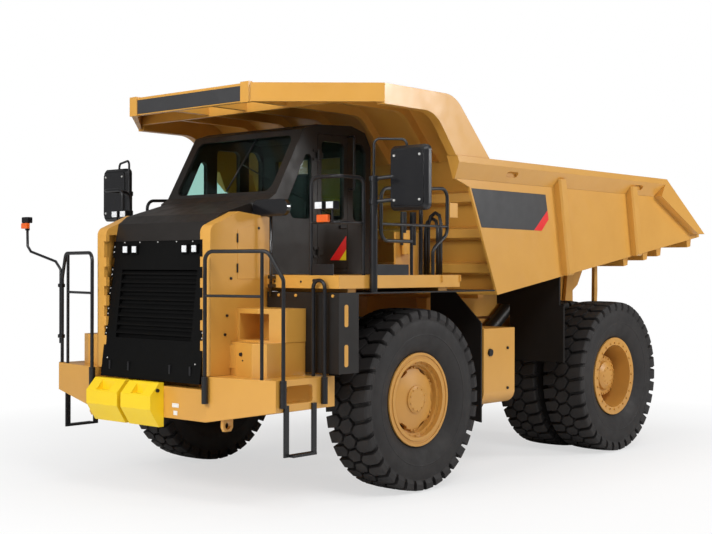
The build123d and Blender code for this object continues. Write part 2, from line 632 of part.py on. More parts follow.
def deck_platform():
    """The walkways beside the cab, plate on a fascia, and the beams that carry them."""
    plate = box(HOOD_X, DECK_X, DECK_FRONT_Y, DECK_REAR_Y, DECK_TOP - 30, DECK_TOP)
    plate += box(CAB_X + 10, HOOD_X, CAB_FRONT_Y, DECK_REAR_Y, DECK_TOP - 30, DECK_TOP)
    fascia = box(DECK_X - 40, DECK_X, DECK_FRONT_Y, DECK_REAR_Y, DECK_BOTTOM, DECK_TOP - 30)
    fascia += box(HOOD_X, DECK_X - 40, DECK_FRONT_Y, DECK_FRONT_Y + 40, DECK_BOTTOM,
                  DECK_TOP - 30)
    fascia += box(CAB_X + 10, DECK_X - 40, DECK_REAR_Y - 40, DECK_REAR_Y, DECK_BOTTOM,
                  DECK_TOP - 30)
    for start in (DECK_REAR_Y - 330, DECK_REAR_Y - 10):
        fascia += along_y([(DECK_X - 60, DECK_BOTTOM), (DECK_X + 18, DECK_BOTTOM + 60),
                           (DECK_X + 18, DECK_TOP), (DECK_X - 60, DECK_TOP)], start, start + 10)
    deck = both(plate + fascia) + box(1450, 1475, 0, 420, DECK_TOP - 1, 2740)
    for start, end in ((-1200, -1080), (250, 400)):
        deck += box(-DECK_X + 40, DECK_X - 40, start, end, FENDER_Z + 15, DECK_TOP - 30)
        deck += both(box(RAIL_INNER_X, RAIL_OUTER_X, start, end, FENDER_Z + PIECE_GAP,
                         FENDER_Z + 15))
    return deck


# Cab

CAB_OUTLINE = [(CAB_FRONT_Y, CAB_FLOOR), (CAB_FRONT_Y, 3060), (-1200, 3120), (-790, 3830),
               (-600, 3890), (-30, 3920), (200, 3860), (CAB_REAR_Y, 3700), (CAB_REAR_Y, CAB_FLOOR)]
CAB_INSIDE = [(CAB_FRONT_Y + 60, CAB_FLOOR + 60), (CAB_FRONT_Y + 60, 3040), (-1150, 3100),
              (-745, 3790), (-580, 3830), (-40, 3860), (165, 3810), (CAB_REAR_Y - 60, 3680),
              (CAB_REAR_Y - 60, CAB_FLOOR + 60)]
GLASS_HEAD = DOOR_TOP - 70
QUARTER_GLASS = [(0, GLASS_FOOT), (0, GLASS_HEAD + 20), (150, GLASS_HEAD + 10),
                 (210, GLASS_HEAD - 90), (210, GLASS_FOOT)]
FRONT_QUARTER = [(-1040, GLASS_FOOT + 160), (-665, GLASS_HEAD + 10), (-665, GLASS_FOOT),
                 (-960, GLASS_FOOT)]
DOOR_GLASS = [(DOOR_FRONT_Y + 60, GLASS_FOOT), (DOOR_FRONT_Y + 60, GLASS_HEAD),
              (DOOR_REAR_Y - 55, GLASS_HEAD), (DOOR_REAR_Y - 55, GLASS_FOOT)]


def windshield_cut():
    """The sloped windshield opening."""
    sheet = along_x([(-1260, 3100), (-800, 3900), (-700, 3760), (-1100, 3070)], -760, 760)
    front = Plane.XZ * Pos(0, 3460) * RectangleRounded(1500, 610, 90)
    return sheet & extrude(Pos(0, -1400, 0) * front, amount=900, dir=(0, 1, 0))


def glazed(points, x0, x1):
    """A window's block with rounded corners between two planes."""
    return along_x(rounded(points, WINDOW_CORNER), x0, x1)


def door_hole(gap):
    """The doorway's block, grown by a gap all round."""
    return box(CAB_X - CAB_WALL - 1, CAB_X + 1, DOOR_FRONT_Y - gap, DOOR_REAR_Y + gap,
               DOOR_BOTTOM - gap, DOOR_TOP + gap)


def hinge_brackets():
    """The door hinges' fixed halves: two ears and the pin between them, at each height."""
    halves = None
    for z in DOOR_HINGES:
        half = pin_z(DOOR_HINGE_X, DOOR_HINGE_Y, z - 60, z + 60, HINGE_PIN_RADIUS)
        for low, high in ((z - 60, z - 32), (z + 32, z + 60)):
            half += pin_z(DOOR_HINGE_X, DOOR_HINGE_Y, low, high, HINGE_KNUCKLE_RADIUS)
            half += box(CAB_X, DOOR_HINGE_X, DOOR_HINGE_Y - 70, DOOR_HINGE_Y - 3, low, high)
        halves = half if halves is None else halves + half
    return halves


def hinge_knuckles():
    """The door hinges' moving halves, bored for the pins."""
    halves = None
    for z in DOOR_HINGES:
        half = pin_z(DOOR_HINGE_X, DOOR_HINGE_Y, z - 30, z + 30, HINGE_KNUCKLE_RADIUS)
        half += box(CAB_X, DOOR_HINGE_X, DOOR_FRONT_Y, DOOR_FRONT_Y + 70, z - 30, z + 30)
        half -= pin_z(DOOR_HINGE_X, DOOR_HINGE_Y, z - 31, z + 31, HINGE_PIN_RADIUS + PIN_GAP)
        halves = half if halves is None else halves + half
    return halves


def cab_shell():
    """The cab's panels and pillars with the doorway and every window cut."""
    shell = along_x(CAB_OUTLINE, -CAB_X, CAB_X)
    shell -= along_x(CAB_INSIDE, -CAB_X + CAB_WALL, CAB_X - CAB_WALL)
    shell -= windshield_cut()
    shell -= both(glazed(QUARTER_GLASS, CAB_X - CAB_WALL - 1, CAB_X + 1))
    shell -= both(glazed(FRONT_QUARTER, CAB_X - CAB_WALL - 1, CAB_X + 1))
    shell -= box(-600, 600, CAB_REAR_Y - 61, CAB_REAR_Y + 1, 2950, 3620)
    shell -= door_hole(RUN_GAP)
    shell -= mirrored(glazed(DOOR_GLASS, CAB_X - CAB_WALL - 1, CAB_X + 1))
    return shell + hinge_brackets()


def cab_glass():
    """The fixed panes, seated in their openings."""
    mid = CAB_X - CAB_WALL / 2
    panes = both(glazed(QUARTER_GLASS, mid - GLASS_THICK, mid))
    panes += both(glazed(FRONT_QUARTER, mid - GLASS_THICK, mid))
    panes += mirrored(glazed(DOOR_GLASS, mid - GLASS_THICK, mid))
    panes += box(-600, 600, CAB_REAR_Y - 34, CAB_REAR_Y - 26, 2950, 3620)
    sheet = along_x([(-1200, 3080), (-700, 3946), (-692, 3942), (-1192, 3076)], -740, 740)
    panes += sheet & windshield_cut()
    return panes


def cab_door():
    """The left door: panel with its window cut and the pane in it."""
    door = box(CAB_X - CAB_WALL, CAB_X, DOOR_FRONT_Y, DOOR_REAR_Y, DOOR_BOTTOM, DOOR_TOP)
    door -= glazed(DOOR_GLASS, CAB_X - CAB_WALL - 1, CAB_X + 1)
    return door + hinge_knuckles()


def door_glass():
    """The door's pane."""
    mid = CAB_X - CAB_WALL / 2
    return glazed(DOOR_GLASS, mid - GLASS_THICK, mid)


def operator_seat():
    """Seat cushion and back on a pedestal."""
    floor = CAB_FLOOR + CAB_WALL
    seat = box(-200, 200, -560, -140, floor, floor + 300)
    seat += box(-270, 270, -640, -120, floor + 300, floor + 430)
    seat += box(-260, 260, -120, 0, floor + 350, floor + 1050)
    return seat


def cab_console():
    """Dash, steering column and wheel."""
    floor = CAB_FLOOR + CAB_WALL
    dash = box(-780, 780, -1239, -1080, floor, 3020)
    column = tube([(0, -1090, floor + 450), (0, -860, floor + 640)], 35)
    ring = Pos(0, -860, floor + 640) * Rot(-50, 0, 0) * (Cylinder(200, 26) - Cylinder(172, 30))
    spoke = Pos(0, -860, floor + 640) * Rot(-50, 0, 0) * Box(380, 40, 20)
    return dash + column + ring + spoke


# Bed

def floor_z(y):
    """Height of the bed floor's underside at a station."""
    return BED_FRONT_Z + FLOOR_SLOPE * (y - BED_FRONT_Y)


SLOPE = math.radians(ROOF_SLOPE)
ROOF_END = (ROOF_BEND_Y + ROOF_BEND_RADIUS * math.sin(SLOPE),
            CANOPY_TOP - ROOF_BEND_RADIUS * (1 - math.cos(SLOPE)))
WALL_TOP = (ROOF_END[0] + (ROOF_END[1] - BED_RAIL_TOP) / math.tan(SLOPE), BED_RAIL_TOP)
WALL_FOOT = (BED_FRONT_Y + 190, BED_FRONT_Z + 45)
BED_SIDE = [(NOSE_Y + 380, BED_FOLD - 80), (BED_FRONT_Y, BED_FRONT_Z), (BED_TIP_Y, BED_TIP_Z),
            (BED_TAIL_Y, BED_RAIL_TOP), (NOSE_Y, BED_RAIL_TOP), (NOSE_Y + 110, BED_FOLD)]


def wall_front(z):
    """Station of the front wall's forward face at a height."""
    lean = (WALL_FOOT[0] - WALL_TOP[0]) / (WALL_TOP[1] - WALL_FOOT[1])
    return WALL_TOP[0] - BED_FLOOR + lean * (WALL_TOP[1] - z)


def bed_shell():
    """The bed's floor, sides and leaning front wall, open above and behind."""
    sides = both(along_x(BED_SIDE, BED_SIDE_X - BED_WALL, BED_SIDE_X))
    floor_front = BED_FRONT_Y
    floor = along_x([(floor_front, floor_z(floor_front)), (BED_TIP_Y, BED_TIP_Z),
                     (BED_TIP_Y, BED_TIP_Z + BED_FLOOR),
                     (floor_front, floor_z(floor_front) + BED_FLOOR)], -BED_SIDE_X, BED_SIDE_X)
    wall = along_x([WALL_TOP, (wall_front(WALL_TOP[1]), WALL_TOP[1]),
                    (wall_front(WALL_FOOT[1]), WALL_FOOT[1]), WALL_FOOT], -BED_SIDE_X, BED_SIDE_X)
    tip_cut = along_x([(BED_TIP_Y, BED_TIP_Z), (BED_TIP_Y + 300, BED_TIP_Z),
                       (BED_TIP_Y + 300, 3200), (BED_TIP_Y, 3200)], -2100, 2100)
    return sides + floor + wall - tip_cut


def flare(gap):
    """The (x, z) section of the flared box rail, grown downwards by a gap."""
    return [(BED_SIDE_X, BED_FOLD - gap), (BED_RAIL_X, BED_RAIL_TOP - 70 - gap),
            (BED_RAIL_X, BED_RAIL_TOP), (BED_SIDE_X, BED_RAIL_TOP)]


def bed_rails():
    """The flared box rails from the nose along the top edges and down to the tail."""
    outer = BED_RAIL_X
    rail = along_y(flare(0), NOSE_Y, BED_TAIL_Y + 300)
    cut = along_x([(BED_TAIL_Y, BED_RAIL_TOP + 1), (BED_TIP_Y, BED_TIP_Z), (BED_TIP_Y, 4000),
                   (BED_TAIL_Y, 4000)], BED_SIDE_X - 45, outer + 140)
    nose = along_x([(NOSE_Y - 100, BED_RAIL_TOP + 1), (NOSE_Y, BED_RAIL_TOP + 1),
                    (NOSE_Y + 110, BED_FOLD - 1), (NOSE_Y - 100, BED_FOLD - 1)],
                   BED_SIDE_X - 1, outer + 140)
    rail = rail - cut - nose
    for y in (RAIL_SLOTS):
        rail -= window_x(y - 110, y + 110, BED_FOLD + 65, BED_FOLD + 125, 29,
                         BED_SIDE_X + 30, outer + 10)
    tail = along_x([(BED_TAIL_Y, BED_RAIL_TOP), (BED_TIP_Y - 60, BED_TIP_Z + 38),
                    (BED_TIP_Y - 270, BED_TIP_Z + 38), (BED_TAIL_Y - 140, BED_FOLD)],
                   BED_SIDE_X, outer)
    return both(rail + tail)


def bed_ribs():
    """The upright ribs on the sides and the box ribs across the front wall."""
    ribs = None
    for top_y, bottom_y in ((2600, 2800), (4350, 4500)):
        rib = along_x([(top_y - 70, BED_FOLD + 100), (top_y + 70, BED_FOLD + 100),
                       (bottom_y + 60, floor_z(bottom_y)), (bottom_y - 60, floor_z(bottom_y))],
                      BED_SIDE_X, BED_SIDE_X + 95)
        rib = chamfer(rib.edges().filter_by(Axis.X, reverse=True).sort_by(Axis.X)[-2:], 22)
        ribs = rib if ribs is None else ribs + rib
    ribs -= along_y(flare(PIECE_GAP * 2), BED_FRONT_Y, BED_TAIL_Y)
    ribs = both(ribs)
    for z in (2350, 2750, 3150):
        front = wall_front(z) - 150
        ribs += along_x([(wall_front(z - 80), z - 80), (front, z - 50), (front, z + 50),
                         (wall_front(z + 80), z + 80)],
                        -BED_SIDE_X + BED_WALL, BED_SIDE_X - BED_WALL)
    return ribs


def roof_curve(inset, foot):
    """The roof's bent edge from its front to the bed, as a line, an arc and a slope."""
    radius = ROOF_BEND_RADIUS - inset
    middle = (ROOF_BEND_Y, CANOPY_TOP - ROOF_BEND_RADIUS)
    end = (middle[0] + radius * math.sin(SLOPE), middle[1] + radius * math.cos(SLOPE))
    half = (middle[0] + radius * math.sin(SLOPE / 2), middle[1] + radius * math.cos(SLOPE / 2))
    start = (ROOF_BEND_Y, CANOPY_TOP - inset)
    last = (end[0] + (end[1] - foot) / math.tan(SLOPE), foot)
    return start, half, end, last


def roof_band(front, outer, inner, x0, x1):
    """The roof's section between two insets from its top, run from x0 to x1."""
    foot = BED_RAIL_TOP + PIECE_GAP
    a, b, c, d = roof_curve(outer, foot)
    e, f, g, h = roof_curve(inner, foot)
    curve = Polyline((front, a[1]), a) + ThreePointArc(a, b, c) + Polyline(c, d, h, g)
    curve += ThreePointArc(g, f, e) + Polyline(e, (front, e[1]), (front, a[1]))
    return along_x(Plane.YZ * curve, x0, x1)


def side_arch():
    """The side plate of the roof: flat top and bend outside, flatter arch below."""
    foot = BED_RAIL_TOP + PIECE_GAP
    turn = math.radians(ARCH_SLOPE)
    radius = ARCH_BEND_RADIUS
    low = CANOPY_BOTTOM - 20
    a, b, c, d = roof_curve(0, foot)
    middle = (ARCH_BEND_Y, low - radius)
    top = (ARCH_BEND_Y, low)
    half = (middle[0] + radius * math.sin(turn / 2), middle[1] + radius * math.cos(turn / 2))
    end = (middle[0] + radius * math.sin(turn), middle[1] + radius * math.cos(turn))
    last = (end[0] + (end[1] - foot) / math.tan(turn), foot)
    curve = Polyline((CANOPY_SIDE_Y, CANOPY_TOP), a) + ThreePointArc(a, b, c) + Polyline(c, d, last, end)
    curve += ThreePointArc(end, half, top)
    curve += Polyline(top, (CANOPY_SIDE_Y, low), (CANOPY_SIDE_Y, CANOPY_TOP))
    return along_x(Plane.YZ * curve, BED_SIDE_X, CANOPY_X)


def bed_canopy():
    """The rock guard over the cab: bent roof with arched ribs, side arches and open visor."""
    roof = roof_band(CANOPY_SIDE_Y - 50, 0, CANOPY_SHEET, -BED_SIDE_X, BED_SIDE_X)
    for x in (-1240, -620, 0, 620, 1240):
        roof += roof_band(CANOPY_SIDE_Y - 50, CANOPY_SHEET, CANOPY_SHEET + 100, x - 30, x + 30)
    canopy = roof + both(side_arch())
    edge = CANOPY_EDGE
    visor = along_z([(-CANOPY_FRONT_X, CANOPY_FRONT_Y), (CANOPY_FRONT_X, CANOPY_FRONT_Y),
                     (CANOPY_X, CANOPY_SIDE_Y), (CANOPY_X - 2 * edge, CANOPY_SIDE_Y),
                     (CANOPY_FRONT_X - edge, CANOPY_FRONT_Y + 2 * edge),
                     (-CANOPY_FRONT_X + edge, CANOPY_FRONT_Y + 2 * edge),
                     (-CANOPY_X + 2 * edge, CANOPY_SIDE_Y), (-CANOPY_X, CANOPY_SIDE_Y)],
                    CANOPY_BOTTOM, CANOPY_TOP)
    for x in (-620, 0, 620):
        visor += box(x - 30, x + 30, CANOPY_FRONT_Y + 2 * edge, CANOPY_SIDE_Y - 30,
                     CANOPY_TOP - 130, CANOPY_TOP - 30)
    visor += both(along_z([(620, CANOPY_FRONT_Y + 2 * edge), (CANOPY_FRONT_X - edge, CANOPY_FRONT_Y + 2 * edge),
                           (CANOPY_X - 2 * edge, CANOPY_SIDE_Y - 10), (620, CANOPY_SIDE_Y - 10)],
                          CANOPY_TOP - CANOPY_SHEET, CANOPY_TOP))
    for x0, x1 in ((CANOPY_FRONT_X - 110, CANOPY_FRONT_X + 12), (-CANOPY_FRONT_X - 12, -CANOPY_FRONT_X + 110)):
        visor += box(x0, x1, CANOPY_FRONT_Y - 14, CANOPY_FRONT_Y + 40, CANOPY_BOTTOM - 8, CANOPY_TOP + 12)
    visor += box(-BED_SIDE_X, BED_SIDE_X, CANOPY_SIDE_Y - 80, CANOPY_SIDE_Y - 30,
                 CANOPY_TOP - 150, CANOPY_TOP)
    return canopy + visor


def bolster(y, reach=BED_SIDE_X - 60):
    """A cross bolster under the floor at a station."""
    return along_x([(y - 70, floor_z(y - 70)), (y - 50, floor_z(y - 50) - BOLSTER_DEPTH),
                    (y + 50, floor_z(y + 50) - BOLSTER_DEPTH), (y + 70, floor_z(y + 70))],
                   -reach, reach)


def rail_top(y):
    """Height of the bed rails' top at a station, just under the bolsters."""
    return floor_z(y) - BOLSTER_DEPTH - BOLSTER_SLACK


def bolster_foot(y):
    """Height just under a bolster at a station, where plates are seated."""
    return floor_z(y) - BOLSTER_DEPTH - PIECE_GAP


def hoist_lugs():
    """The plates under the bolster that hold the rods' eyes."""
    eye_y, eye_z = HOIST_EYE
    lugs = None
    for side in (-1, 1):
        inner = HOIST_X + side * (EYE_WIDTH / 2 + RUN_GAP)
        outer = HOIST_X + side * (EYE_WIDTH / 2 + RUN_GAP + LUG_PLATE)
        x0, x1 = sorted((inner, outer))
        lug = along_x([(eye_y - 50, bolster_foot(eye_y - 50)), (eye_y - 75, eye_z - 60),
                       (eye_y - 40, eye_z - 80), (eye_y + 40, eye_z - 80), (eye_y + 75, eye_z - 60),
                       (eye_y + 50, bolster_foot(eye_y + 50))], x0, x1)
        lugs = lug if lugs is None else lugs + lug
    return both(lugs)


def pivot_lugs():
    """The plates either side of each frame head, with the hinge pins through them."""
    y = BED_PIVOT_Y + 70
    lugs = None
    for x0, x1 in ((RAIL_INNER_X - RUN_GAP - PIVOT_PLATE, RAIL_INNER_X - RUN_GAP),
                   (RAIL_OUTER_X + RUN_GAP, RAIL_OUTER_X + RUN_GAP + PIVOT_PLATE)):
        lug = along_x([(y - 50, bolster_foot(y - 50)), (BED_PIVOT_Y - 110, BED_PIVOT_Z),
                       (BED_PIVOT_Y - 60, BED_PIVOT_Z - 110), (BED_PIVOT_Y + 60, BED_PIVOT_Z - 110),
                       (BED_PIVOT_Y + 140, BED_PIVOT_Z), (y + 50, bolster_foot(y + 50))], x0, x1)
        lugs = lug if lugs is None else lugs + lug
    reach = RUN_GAP + PIVOT_PLATE
    return both(lugs + pin_x(RAIL_INNER_X - reach, RAIL_OUTER_X + reach, BED_PIVOT_Y, BED_PIVOT_Z,
                             BED_PIN_RADIUS))


def ejector_bars():
    """The rock ejector bars between the twin tyres."""
    y = WHEELBASE + 430
    x = REAR_TYRE_X - DUAL_SPACING / 2
    return both(along_x([(y - 45, bolster_foot(y - 45)), (y + 25, bolster_foot(y + 25)),
                         (y + 30, 2060), (y - 10, 1500), (y - 60, 1500), (y - 50, 2060)],
                        x - 22, x + 22))


def bed_underframe():
    """Two lengthwise rails under cross bolsters, with the pivot and hoist plates and ejectors."""
    front, rear = 1700, 5480
    turn = BED_PIVOT_Y - 290
    rail = along_x([(front, BED_RAIL_BOTTOM), (turn, BED_RAIL_BOTTOM), (BED_PIVOT_Y + 350, 2120),
                    (rear, rail_top(rear)), (front, rail_top(front))], RAIL_INNER_X, RAIL_OUTER_X)
    frame = both(rail) + hoist_lugs() + pivot_lugs() + ejector_bars()
    for y in (1800, 2400, 3000, HOIST_EYE[0]):
        frame += bolster(y, BOLSTER_SHORT_X)
    for y in (WHEELBASE + 430, BED_PIVOT_Y + 70, 5300, 6200):
        frame += bolster(y)
    return frame


def rear_mudflaps():
    """The plates and flaps that hang from the bed ahead of the rear wheels."""
    y = WHEELBASE - 1170
    flap = box(840, 1770, y, y + 30, 1900, floor_z(y))
    flap += box(1040, 1830, y, y + 30, 1200, 1900)
    return both(flap)


# Hoist

def hoist_axis():
    """Unit direction of the cylinder in (y, z), and its length from pin to pin."""
    dy = HOIST_EYE[0] - HOIST_BASE[0]
    dz = HOIST_EYE[1] - HOIST_BASE[1]
    length = math.hypot(dy, dz)
    return dy / length, dz / length, length


def hoist_bar(start, end, radius):
    """A round bar on the cylinder's axis between two distances from its lower pin."""
    uy, uz, _ = hoist_axis()
    base = Vector(HOIST_X, HOIST_BASE[0] + uy * start, HOIST_BASE[1] + uz * start)
    plane = Plane(base, x_dir=(1, 0, 0), z_dir=(0, uy, uz))
    return extrude(plane * Circle(radius), amount=end - start)


def hoist_barrel():
    """The barrel with its lower eye, bored for the rod."""
    _, _, length = hoist_axis()
    base_y, base_z = HOIST_BASE
    barrel = hoist_bar(60, length - 150, BARREL_RADIUS)
    barrel += pin_x(HOIST_X - 55, HOIST_X + 55, base_y, base_z, EYE_RADIUS)
    barrel -= pin_x(HOIST_X - 60, HOIST_X + 60, base_y, base_z, 40 + PIN_GAP)
    return barrel - hoist_bar(150, length, ROD_RADIUS + PIN_GAP)


def hoist_rod():
    """The rod with the eye that lies between the bed's lugs."""
    _, _, length = hoist_axis()
    eye_y, eye_z = HOIST_EYE
    rod = hoist_bar(200, length, ROD_RADIUS)
    rod += pin_x(HOIST_X - EYE_WIDTH / 2, HOIST_X + EYE_WIDTH / 2, eye_y, eye_z, EYE_RADIUS)
    return rod - pin_x(HOIST_X - EYE_WIDTH, HOIST_X + EYE_WIDTH, eye_y, eye_z, 40)


# Rails, mirrors and small gear

def front_handrails():
    """The bent rails round the bumper's corner steps, in sockets on the bumper."""
    r = RAIL_TUBE
    reach = SOCKET_RADIUS + PIECE_GAP
    front_x = BUMPER_CENTRE_X + 20
    front_y = wing_front(front_x) - reach * 1.012
    side_x = WING_CORNER_X + reach
    low = WING_TOP - 250
    rails = tube([(front_x, front_y, low), (front_x, front_y, 2510), (1600, -2045, 2510),
                  (side_x, -1983, 2240), (side_x, -1983, low)], r, 90)
    rails += pin_z(front_x, front_y, low - 10, WING_TOP, SOCKET_RADIUS)
    rails += pin_z(side_x, -1983, low - 10, WING_TOP, SOCKET_RADIUS)
    rails += tube([(front_x, front_y, 2080), (1540, -2058, 2080)], RAIL_CROSS_TUBE)
    rails += tube([(1540, -2058, WING_TOP), (1540, -2058, 2510)], RAIL_POST_TUBE)
    hoop_y = DECK_FRONT_Y - 45
    hoop = tube([(HOOP_INNER_X, hoop_y, WING_TOP + PIECE_GAP), (HOOP_INNER_X, hoop_y, HOOP_TOP),
                 (side_x, hoop_y, HOOP_TOP), (side_x, hoop_y, low)], r, 72)
    hoop += pin_z(side_x, hoop_y, low - 10, WING_TOP, SOCKET_RADIUS)
    return both(rails + hoop)


def access_ladders():
    """The bottom step frames hung on the bumper's ends: two uprights and a rung."""
    x0, x1 = WING_CORNER_X + PIECE_GAP, WING_CORNER_X + 20
    ladder = box(x0, x1, -1950, -1890, 560, 1050)
    ladder += box(x0, x1, -1570, -1510, 560, 1050)
    ladder += box(x0, x1 + 60, -1890 + PIECE_GAP, -1570 - PIECE_GAP, 560, 585)
    return both(ladder)


def deck_handrails():
    """Rails round the deck's outer corners, and the toe boards."""
    r = RAIL_TUBE
    x = DECK_X - 45
    head = DECK_TOP + 970
    middle = DECK_TOP + 520
    front = tube([(1500, -1340, DECK_TOP), (1500, -1340, head), (x, -1340, head), (x, -960, head),
                  (x, -960, DECK_TOP)], r, 80)
    front += tube([(1500, -1340, middle), (x, -1340, middle), (x, -960, middle)], RAIL_CROSS_TUBE)
    rear = tube([(x, -200, DECK_TOP + 350), (x, -690, DECK_TOP + 350), (x, -690, head - 90),
                 (x, 410, head - 40), (x, 410, middle - 80), (x, 160, middle - 250),
                 (x, 160, DECK_TOP)], r, 100)
    rear += tube([(x, -200, DECK_TOP), (x, -200, middle)], RAIL_POST_TUBE)
    rear += tube([(x, -690, middle), (x, 410, middle)], RAIL_CROSS_TUBE)
    board = box(DECK_X - 12, DECK_X, -850, -300, DECK_TOP + PIECE_GAP, DECK_TOP + 110)
    board += box(1540, DECK_X - 80, DECK_FRONT_Y, DECK_FRONT_Y + 12, DECK_TOP + PIECE_GAP,
                 DECK_TOP + 110)
    return both(front + rear + board)


def mirrors():
    """The big rear-view mirrors, carried outside the deck on clamped arms and a guard hoop."""
    x = DECK_X + MIRROR_POST + PIECE_GAP
    y = -900
    head_x, head_y = DECK_X + 410, y + 110
    head = Pos(head_x, head_y, 3240) * Box(480, 76, 640)
    head = fillet(head.edges().filter_by(Axis.Y), 60)
    head = chamfer(head.faces().sort_by(Axis.Y)[0].edges(), 30)
    post = pin_z(x, y, FENDER_Z + 20, 3270, MIRROR_POST)
    for z in (3010, 3240):
        post += pin_z(x, y, z - 25, z + 25, MIRROR_POST + 10)
        post += tube([(x, y, z), (head_x - 100, head_y, z + 30)], 20)
    hoop = tube([(x, y, 3260), (x, y, 3640), (head_x - 40, head_y, 3620), (head_x - 40, head_y, 3500)],
                13, 60)
    return both(post + hoop + head)


def air_cleaners():
    """The small canisters on the left deck's upright plate, and the round housing at the right."""
    x = 1475 + PIECE_GAP + 35
    cans = pin_z(x, 90, 2600, 2960, 35) + pin_z(x, 250, 2600, 2960, 35)
    cans += pin_z(x, 390, DECK_TOP, 3050, 22)
    drum = pin_z(-1650, -250, DECK_TOP, 2660, 150)
    drum = fillet(drum.edges().sort_by(Axis.Z)[-1:], 70)
    return cans + drum


def lamps():
    """The four square lamps on the grille's head panel."""
    low = GRILLE_HEAD[1] - 120
    high = low + LAMP_SIZE
    front = grille_y(low) - LAMP_DEPTH
    half = LAMP_SIZE / 2
    outline = [(front, low), (grille_y(low) - PIECE_GAP, low),
               (grille_y(high) - PIECE_GAP, high), (front, high)]
    lenses = None
    for x in LAMP_PLACES:
        lens = along_x(outline, x - half, x + half)
        lenses = lens if lenses is None else lenses + lens
    return both(lenses)


NODES = {
    "main_frame": main_frame,
    "front_bumper": front_bumper,
    "bumper_blocks": bumper_blocks,
    "radiator_grille": radiator_grille,
    "hood_sides": hood_sides,
    "hood_top": hood_top,
    "engine_block": engine,
    "drive_line": drive_line,
    "step_boxes": step_boxes,
    "front_fenders": fenders,
    "deck_platform": deck_platform,
    "cab_shell": cab_shell,
    "cab_glass": cab_glass,
    "cab_door": cab_door,
    "cab_door_glass": door_glass,
    "operator_seat": operator_seat,
    "cab_console": cab_console,
    "side_tanks": lambda: tank(1000, 1650, 1376, 2000, 770, 1655, 150)
    + mirrored(tank(900, 1650, 1376, 2250, 700, 1600, 220)),
    "rear_axle_housing": rear_axle,
    "suspension_struts": lambda: rear_struts() + front_struts(),
    "knuckle_left": knuckle,
    "knuckle_right": lambda: mirrored(knuckle()),
    "tie_rod": tie_rod,
    "handrails": lambda: front_handrails() + deck_handrails() + access_ladders(),
    "mirrors": mirrors,
    "deck_canisters": air_cleaners,
    "lamps": lamps,
    "front_rim_left": front_wheel,
    "front_rim_right": lambda: mirrored(front_wheel()),
    "rear_rims_left": rear_wheel,
    "rear_rims_right": lambda: mirrored(rear_wheel()),
    "front_tyre_left": lambda: tyre(FRONT_TYRE_X, 0),
    "front_tyre_right": lambda: mirrored(tyre(FRONT_TYRE_X, 0)),
    "rear_tyres_left": lambda: tyre(REAR_TYRE_X, WHEELBASE)
    + tyre(REAR_TYRE_X - DUAL_SPACING, WHEELBASE),
    "rear_tyres_right": lambda: mirrored(tyre(REAR_TYRE_X, WHEELBASE)
                                         + tyre(REAR_TYRE_X - DUAL_SPACING, WHEELBASE)),
    "bed_shell": bed_shell,
    "bed_rails": bed_rails,
    "bed_ribs": bed_ribs,
    "bed_canopy": bed_canopy,
    "bed_underframe": bed_underframe,
    "rear_mudflaps": rear_mudflaps,
    "hoist_barrel_left": hoist_barrel,
    "hoist_barrel_right": lambda: mirrored(hoist_barrel()),
    "hoist_rod_left": hoist_rod,
    "hoist_rod_right": lambda: mirrored(hoist_rod()),
}

os.makedirs("parts", exist_ok=True)
for name, make in NODES.items():
    piece = Pos(0, FRONT_AXLE_STATION, 0) * make()
    piece.label = name
    export_step(piece, f"parts/{name}.step")
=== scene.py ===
import json
import math

import bmesh
import bpy
from mathutils import Matrix, Vector
from mathutils.bvhtree import BVHTree


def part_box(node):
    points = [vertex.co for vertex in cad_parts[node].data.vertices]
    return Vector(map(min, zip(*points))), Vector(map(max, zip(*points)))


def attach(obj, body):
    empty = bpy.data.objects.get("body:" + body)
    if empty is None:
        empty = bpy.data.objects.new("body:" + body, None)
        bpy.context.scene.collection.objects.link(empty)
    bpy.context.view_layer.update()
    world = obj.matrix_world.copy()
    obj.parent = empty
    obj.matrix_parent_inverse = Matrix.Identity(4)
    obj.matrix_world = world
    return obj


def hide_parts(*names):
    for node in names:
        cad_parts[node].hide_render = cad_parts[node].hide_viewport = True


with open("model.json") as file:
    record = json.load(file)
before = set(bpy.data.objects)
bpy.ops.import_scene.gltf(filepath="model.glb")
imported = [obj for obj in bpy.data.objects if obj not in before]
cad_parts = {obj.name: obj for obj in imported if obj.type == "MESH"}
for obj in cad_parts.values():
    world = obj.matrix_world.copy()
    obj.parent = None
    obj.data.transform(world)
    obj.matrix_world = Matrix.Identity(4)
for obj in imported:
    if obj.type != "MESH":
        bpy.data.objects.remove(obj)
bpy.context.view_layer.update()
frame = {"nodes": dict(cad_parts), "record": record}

MM = 0.001
SIDES = ((1, "left"), (-1, "right"))

# Places read from the frame, in metres
FRONT_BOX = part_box("front_tyre_left")
REAR_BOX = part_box("rear_tyres_left")
FRONT_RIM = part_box("front_rim_left")
REAR_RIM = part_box("rear_rims_left")
AXLE_Z = (FRONT_RIM[0].z + FRONT_RIM[1].z) / 2
FRONT_Y = (FRONT_RIM[0].y + FRONT_RIM[1].y) / 2
REAR_Y = (REAR_RIM[0].y + REAR_RIM[1].y) / 2
TYRE_WIDTH = FRONT_BOX[1].x - FRONT_BOX[0].x
TYRE_RADIUS = AXLE_Z
FRONT_TYRE_X = (FRONT_BOX[0].x + FRONT_BOX[1].x) / 2
REAR_OUTER_X = REAR_BOX[1].x - TYRE_WIDTH / 2
REAR_INNER_X = REAR_BOX[0].x + TYRE_WIDTH / 2


def at(station):
    """Y in the frame of a station in millimetres behind the front axle."""
    return FRONT_Y + station * MM


# Materials

